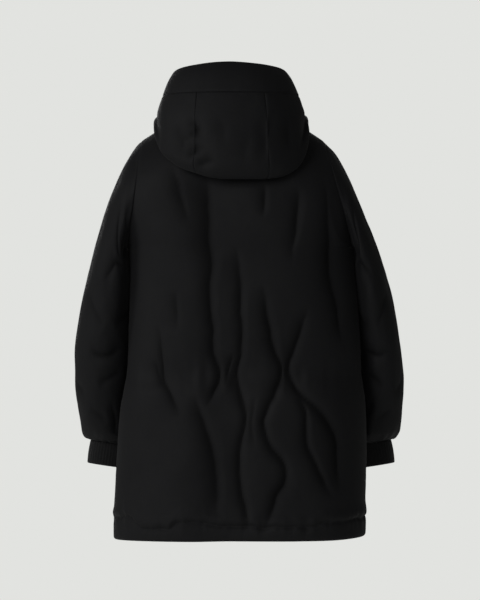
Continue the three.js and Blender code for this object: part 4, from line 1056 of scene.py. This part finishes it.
def hoodPanel(name, rows, columns, brim=False):
    v = hoodValues
    base = hoodBase[rows, columns]
    normal = hoodNormal[rows, columns]
    x = hoodAcross[rows, columns]
    down = hoodDown[rows, columns]
    fromStart = lengths(base, 1)
    toEnd = fromStart[:, -1:] - fromStart
    fromTop = lengths(base, 0)
    toBottom = fromTop[-1:] - fromTop
    warpX = x + v["warp"] * softNoise(x, down, 30, 201)
    warpDown = down + v["warp"] * softNoise(x, down, 30, 203)
    push, _, deep = creases(hoodFolds, warpX, warpDown)
    push += v["bump"] * softNoise(x, down, 38, 207) + v["fineBump"] * softNoise(x, down, 16, 209)
    under = hoodAt[rows, columns] > 5
    push = np.where(under, np.minimum(push, v["underRoom"]), push)
    if brim:
        push = push * v["brimShare"] + pucker(toBottom, x, v["brimPucker"], 16, 14, 211)
        edges = [freeEdge(fromTop, v["thickness"] + 2), seam(toBottom, reach=6, sink=1.3, thick=2.6)]
        edges += [seam(fromStart, reach=6), seam(toEnd, reach=6)]
    else:
        push += pucker(fromTop, x, v["crownPucker"], 18, 15, 213)
        push += pucker(np.minimum(fromStart, toEnd), down, v["sidePucker"], 16, 13, 217)
        edges = [seam(fromTop, reach=6, sink=1.3, thick=2.6), seam(toBottom, reach=6, sink=0.5, thick=4.0)]
        edges += [seam(fromStart, reach=4, sink=0.8, thick=2.6), seam(toEnd, reach=4, sink=0.8, thick=2.6)]
    outer, inner = padWall(base, normal, push, v["thickness"], edges)
    pastLine = v["seamStitch"] - toBottom if brim else fromTop - v["seamStitch"]
    seamLines.append(traceLine(outer, normal, pastLine))
    # the painted crease shade, scaled by its share, goes to the cloth's colour
    return wallMesh(name, outer, inner, False, v["paintedCreaseShade"] * deep)


everyColumn = slice(0, None)
brimRows = slice(0, hoodCuts["brim"] + 1)
crownRows = slice(hoodCuts["brim"], None)
hoodPieces = [
    ("brim", "hood_brim", brimRows, everyColumn),
    ("middle", "hood_middle", crownRows, slice(hoodCuts["start"], hoodCuts["end"] + 1)),
    ("side_left", "hood_side_left", crownRows, slice(hoodCuts["end"], None)),
    ("side_right", "hood_side_right", crownRows, slice(0, hoodCuts["start"] + 1)),
]
for name, node, rows, columns in hoodPieces:
    mesh = hoodPanel("hood_panel_" + name, rows, columns, name == "brim")
    addPiece("hood_panel_" + name, mesh, shellCloth, "coat", [node], 1)
print("hood made")

collarValues = {"thickness": 6.6, "columns": 56, "rows": 10, "bump": 0.8, "pucker": 1.0}


def collarPanel():
    v = collarValues
    zipBeta = 180 - math.asin(zipGap / neck["halfWidth"]) / degree
    columns = spread(-1, 1, v["columns"], 400)
    rows = spread(0, 1, v["rows"], 60)
    along, share = np.meshgrid(columns, rows)
    side = np.where(along < 0, -1, 1)
    base = collarPoint(side, zipBeta * np.abs(along), share)
    normal = gridNormals(base, False, np.array([0, sideY, 0]))
    fromStart = lengths(base, 1)
    fromNeck = lengths(base, 0)
    toEnd = fromStart[:, -1:] - fromStart
    toTop = fromNeck[-1:] - fromNeck
    push = v["bump"] * softNoise(fromStart, fromNeck, 30, 301)
    push += pucker(fromNeck, fromStart, v["pucker"], 14, 14, 303)
    edges = [seam(fromStart, reach=6, sink=1.2, thick=3.5), seam(toEnd, reach=6, sink=1.2, thick=3.5),
             seam(fromNeck, reach=6, sink=0.8, thick=4.0), freeEdge(toTop, v["thickness"], 5)]
    outer, inner = padWall(base, normal, push, v["thickness"], edges)
    return wallMesh("collar_panel", outer, inner, False)


addPiece("collar_panel", collarPanel(), shellCloth, "coat", ["collar"], 1)
print("collar made")

# Small pieces set one after another along lines: teeth and stitches
def repeatTree(shape):
    tree = bpy.data.node_groups.new("along a line", "GeometryNodeTree")
    tree.interface.new_socket("Line", in_out="INPUT", socket_type="NodeSocketGeometry")
    tree.interface.new_socket("Pitch", in_out="INPUT", socket_type="NodeSocketFloat")
    tree.interface.new_socket("Size", in_out="INPUT", socket_type="NodeSocketVector")
    tree.interface.new_socket("Material", in_out="INPUT", socket_type="NodeSocketMaterial")
    tree.interface.new_socket("Pieces", in_out="OUTPUT", socket_type="NodeSocketGeometry")
    given = addNode(tree, "NodeGroupInput")
    curve = addNode(tree, "GeometryNodeMeshToCurve", links={"Mesh": given.outputs["Line"]})
    spaced = addNode(tree, "GeometryNodeResampleCurve", {"mode": "LENGTH"},
                     links={"Curve": curve.outputs[0], "Length": given.outputs["Pitch"]})
    outwards = addNode(tree, "GeometryNodeInputNamedAttribute", {"data_type": "FLOAT_VECTOR"},
                       {"Name": "outwards"})
    tangent = addNode(tree, "GeometryNodeInputTangent")
    upright = addNode(tree, "FunctionNodeAlignRotationToVector", {"axis": "Z"},
                      links={"Vector": outwards.outputs["Attribute"]})
    turned = addNode(tree, "FunctionNodeAlignRotationToVector", {"axis": "X", "pivot_axis": "Z"},
                     links={"Rotation": upright.outputs[0], "Vector": tangent.outputs[0]})
    if shape == "bead":
        item = addNode(tree, "GeometryNodeMeshIcoSphere", inputs={"Radius": 0.5, "Subdivisions": 2})
    else:
        item = addNode(tree, "GeometryNodeMeshCube")
    sized = addNode(tree, "GeometryNodeTransform", links={"Geometry": item.outputs[0],
                    "Scale": given.outputs["Size"]})
    placed = addNode(tree, "GeometryNodeInstanceOnPoints", links={"Points": spaced.outputs[0],
                     "Instance": sized.outputs[0], "Rotation": turned.outputs[0]})
    real = addNode(tree, "GeometryNodeRealizeInstances", links={"Geometry": placed.outputs[0]})
    painted = addNode(tree, "GeometryNodeSetMaterial", links={"Geometry": real.outputs[0],
                      "Material": given.outputs["Material"]})
    addNode(tree, "NodeGroupOutput", links={"Pieces": painted.outputs[0]})
    return tree


def repeatAlong(name, lines, shape, pitch, size, material, replaced):
    mesh = bpy.data.meshes.new(name)
    points = np.concatenate([line[0] for line in lines]) * millimetre
    outwards = np.concatenate([line[1] for line in lines])
    ends = np.cumsum([len(line[0]) for line in lines])
    edges = [(k, k + 1) for k in range(len(points) - 1) if k + 1 not in ends]
    mesh.from_pydata(points.tolist(), edges, [])
    mesh.attributes.new("outwards", "FLOAT_VECTOR", "POINT").data.foreach_set("vector", outwards.ravel())
    maker = bpy.data.objects.new(name, mesh)
    bpy.context.collection.objects.link(maker)
    modifier = maker.modifiers.new("along", "NODES")
    modifier.node_group = repeatTree(shape)
    given = {"Pitch": pitch * millimetre, "Size": [part * millimetre for part in size], "Material": material}
    for socket in modifier.node_group.interface.items_tree:
        if socket.name in given:
            modifier[socket.identifier] = given[socket.name]
    bpy.context.view_layer.update()
    evaluated = maker.evaluated_get(bpy.context.evaluated_depsgraph_get())
    finished = bpy.data.meshes.new_from_object(evaluated)
    bpy.data.objects.remove(maker)
    finished.materials.clear()
    return addPiece(name, finished, material, "coat", replaced)


# The chain: two rows of teeth that mesh, on the middle of the zip, from the hem to the slider
teethValues = {"depth": 1.75, "rowX": 1.35, "pitch": 2.5, "size": (1.15, 3.2, 2.2), "top": 4.6, "start": 1.5,
               "frontPoints": 400, "collarPoints": 30}


def zipLines():
    v = teethValues
    level = np.linspace(0, 3, v["frontPoints"])
    front = bodyPoint(-1, np.zeros(v["frontPoints"]), level)
    upCollar = np.linspace(0.02, 1, v["collarPoints"])
    collar = collarPoint(1, np.full(v["collarPoints"], 180.0), upCollar)
    centre = np.concatenate([front, collar])
    centre[:, 0] = readTable(bodyRows, "z", np.minimum(centre[:, 2], shoulder["z"]))["shift"]
    centre = centre[centre[:, 2] < v["top"]]
    run = unit(np.gradient(centre, axis=0))
    outwards = unit(np.cross(run, np.array([1.0, 0, 0])))
    outwards = np.where(outwards[:, 1:2] > 0, -outwards, outwards)
    lines = []
    for row, late in ((1, 0.0), (-1, 0.5)):
        begin = np.searchsorted(centre[:, 2], centre[0, 2] + v["start"] + late * v["pitch"])
        shifted = centre - v["depth"] * outwards + np.array([row * v["rowX"], 0, 0])
        lines.append((shifted[begin:], outwards[begin:]))
    return lines


repeatAlong("zip_teeth", zipLines(), "block", teethValues["pitch"], teethValues["size"], toothPlastic,
            ["zip_chain"])
stitchValues = {"pitch": 3.6, "size": (2.7, 0.55, 0.4)}
repeatAlong("seam_stitches", seamLines, "bead", stitchValues["pitch"], stitchValues["size"], thread,
            [])
print("teeth and stitches made")

for node, material in (("zip_tape_left", zipTape), ("zip_tape_right", zipTape), ("zip_slider", zipMetal),
                       ("zip_pull_tab", zipMetal)):
    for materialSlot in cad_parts[node].material_slots:
        materialSlot.link = "OBJECT"
        materialSlot.material = material
# The studio: a pale floor far below the hem, pale walls, and soft lights, the strongest one from above
# and from the side of the wearer's left sleeve. Each light has a place, a width and a power.
studioValues = {"pale": "#e2e3e0", "paper": "#d9dad7", "fill": 0.12, "floorGlow": 0.18, "floorRough": 0.9,
                "floorZ": -1.7, "floorRadius": 3.6, "floorSides": 48, "aim": (0, 0, -0.4)}
studioLights = {
    "keyLight": ((2.8, 4.6, 1.2), 2.2, 120),
    "sideLight": ((4.4, 0.7, 0.4), 1.6, 36),
    "softLight": ((-0.8, 6.0, 0.3), 2.4, 30),
    "frontLight": ((0.5, -4.0, 0.8), 2.5, 60),
}


def makeStudio():
    v = studioValues
    scene = bpy.context.scene
    scene.view_settings.view_transform = "Standard"
    world = bpy.data.worlds.new("paleStudio")
    scene.world = world
    world.use_nodes = True
    tree = world.node_tree
    tree.nodes.clear()
    path = addNode(tree, "ShaderNodeLightPath")
    pale = linear(v["pale"])
    seen = addNode(tree, "ShaderNodeBackground", inputs={"Color": pale, "Strength": 1.0})
    fill = addNode(tree, "ShaderNodeBackground", inputs={"Color": pale, "Strength": v["fill"]})
    both = addNode(tree, "ShaderNodeMixShader",
                   links={0: path.outputs["Is Camera Ray"], 1: fill.outputs[0], 2: seen.outputs[0]})
    addNode(tree, "ShaderNodeOutputWorld", links={"Surface": both.outputs[0]})
    for name, (spot, size, power) in studioLights.items():
        data = bpy.data.lights.new(name, "AREA")
        data.size = size
        data.energy = power
        light = bpy.data.objects.new(name, data)
        light.location = spot
        light.rotation_euler = (Vector(v["aim"]) - light.location).to_track_quat("-Z", "Y").to_euler()
        scene.collection.objects.link(light)
    turns = [k * 360 * degree / v["floorSides"] for k in range(v["floorSides"])]
    reach = v["floorRadius"]
    ring = [(reach * math.cos(turn), reach * math.sin(turn), v["floorZ"]) for turn in turns]
    mesh = bpy.data.meshes.new("studio_floor")
    mesh.from_pydata(ring, [], [list(range(v["floorSides"]))])
    floor = bpy.data.objects.new("studio_floor", mesh)
    scene.collection.objects.link(floor)
    material, floorTree = startMaterial("pale paper floor")
    paper = linear(v["paper"])
    shader = addNode(floorTree, "ShaderNodeBsdfPrincipled",
                     inputs={"Base Color": paper, "Roughness": v["floorRough"], "Emission Color": paper,
                             "Emission Strength": v["floorGlow"]})
    closeMaterial(floorTree, shader)
    mesh.materials.append(material)


makeStudio()
print("studio made")
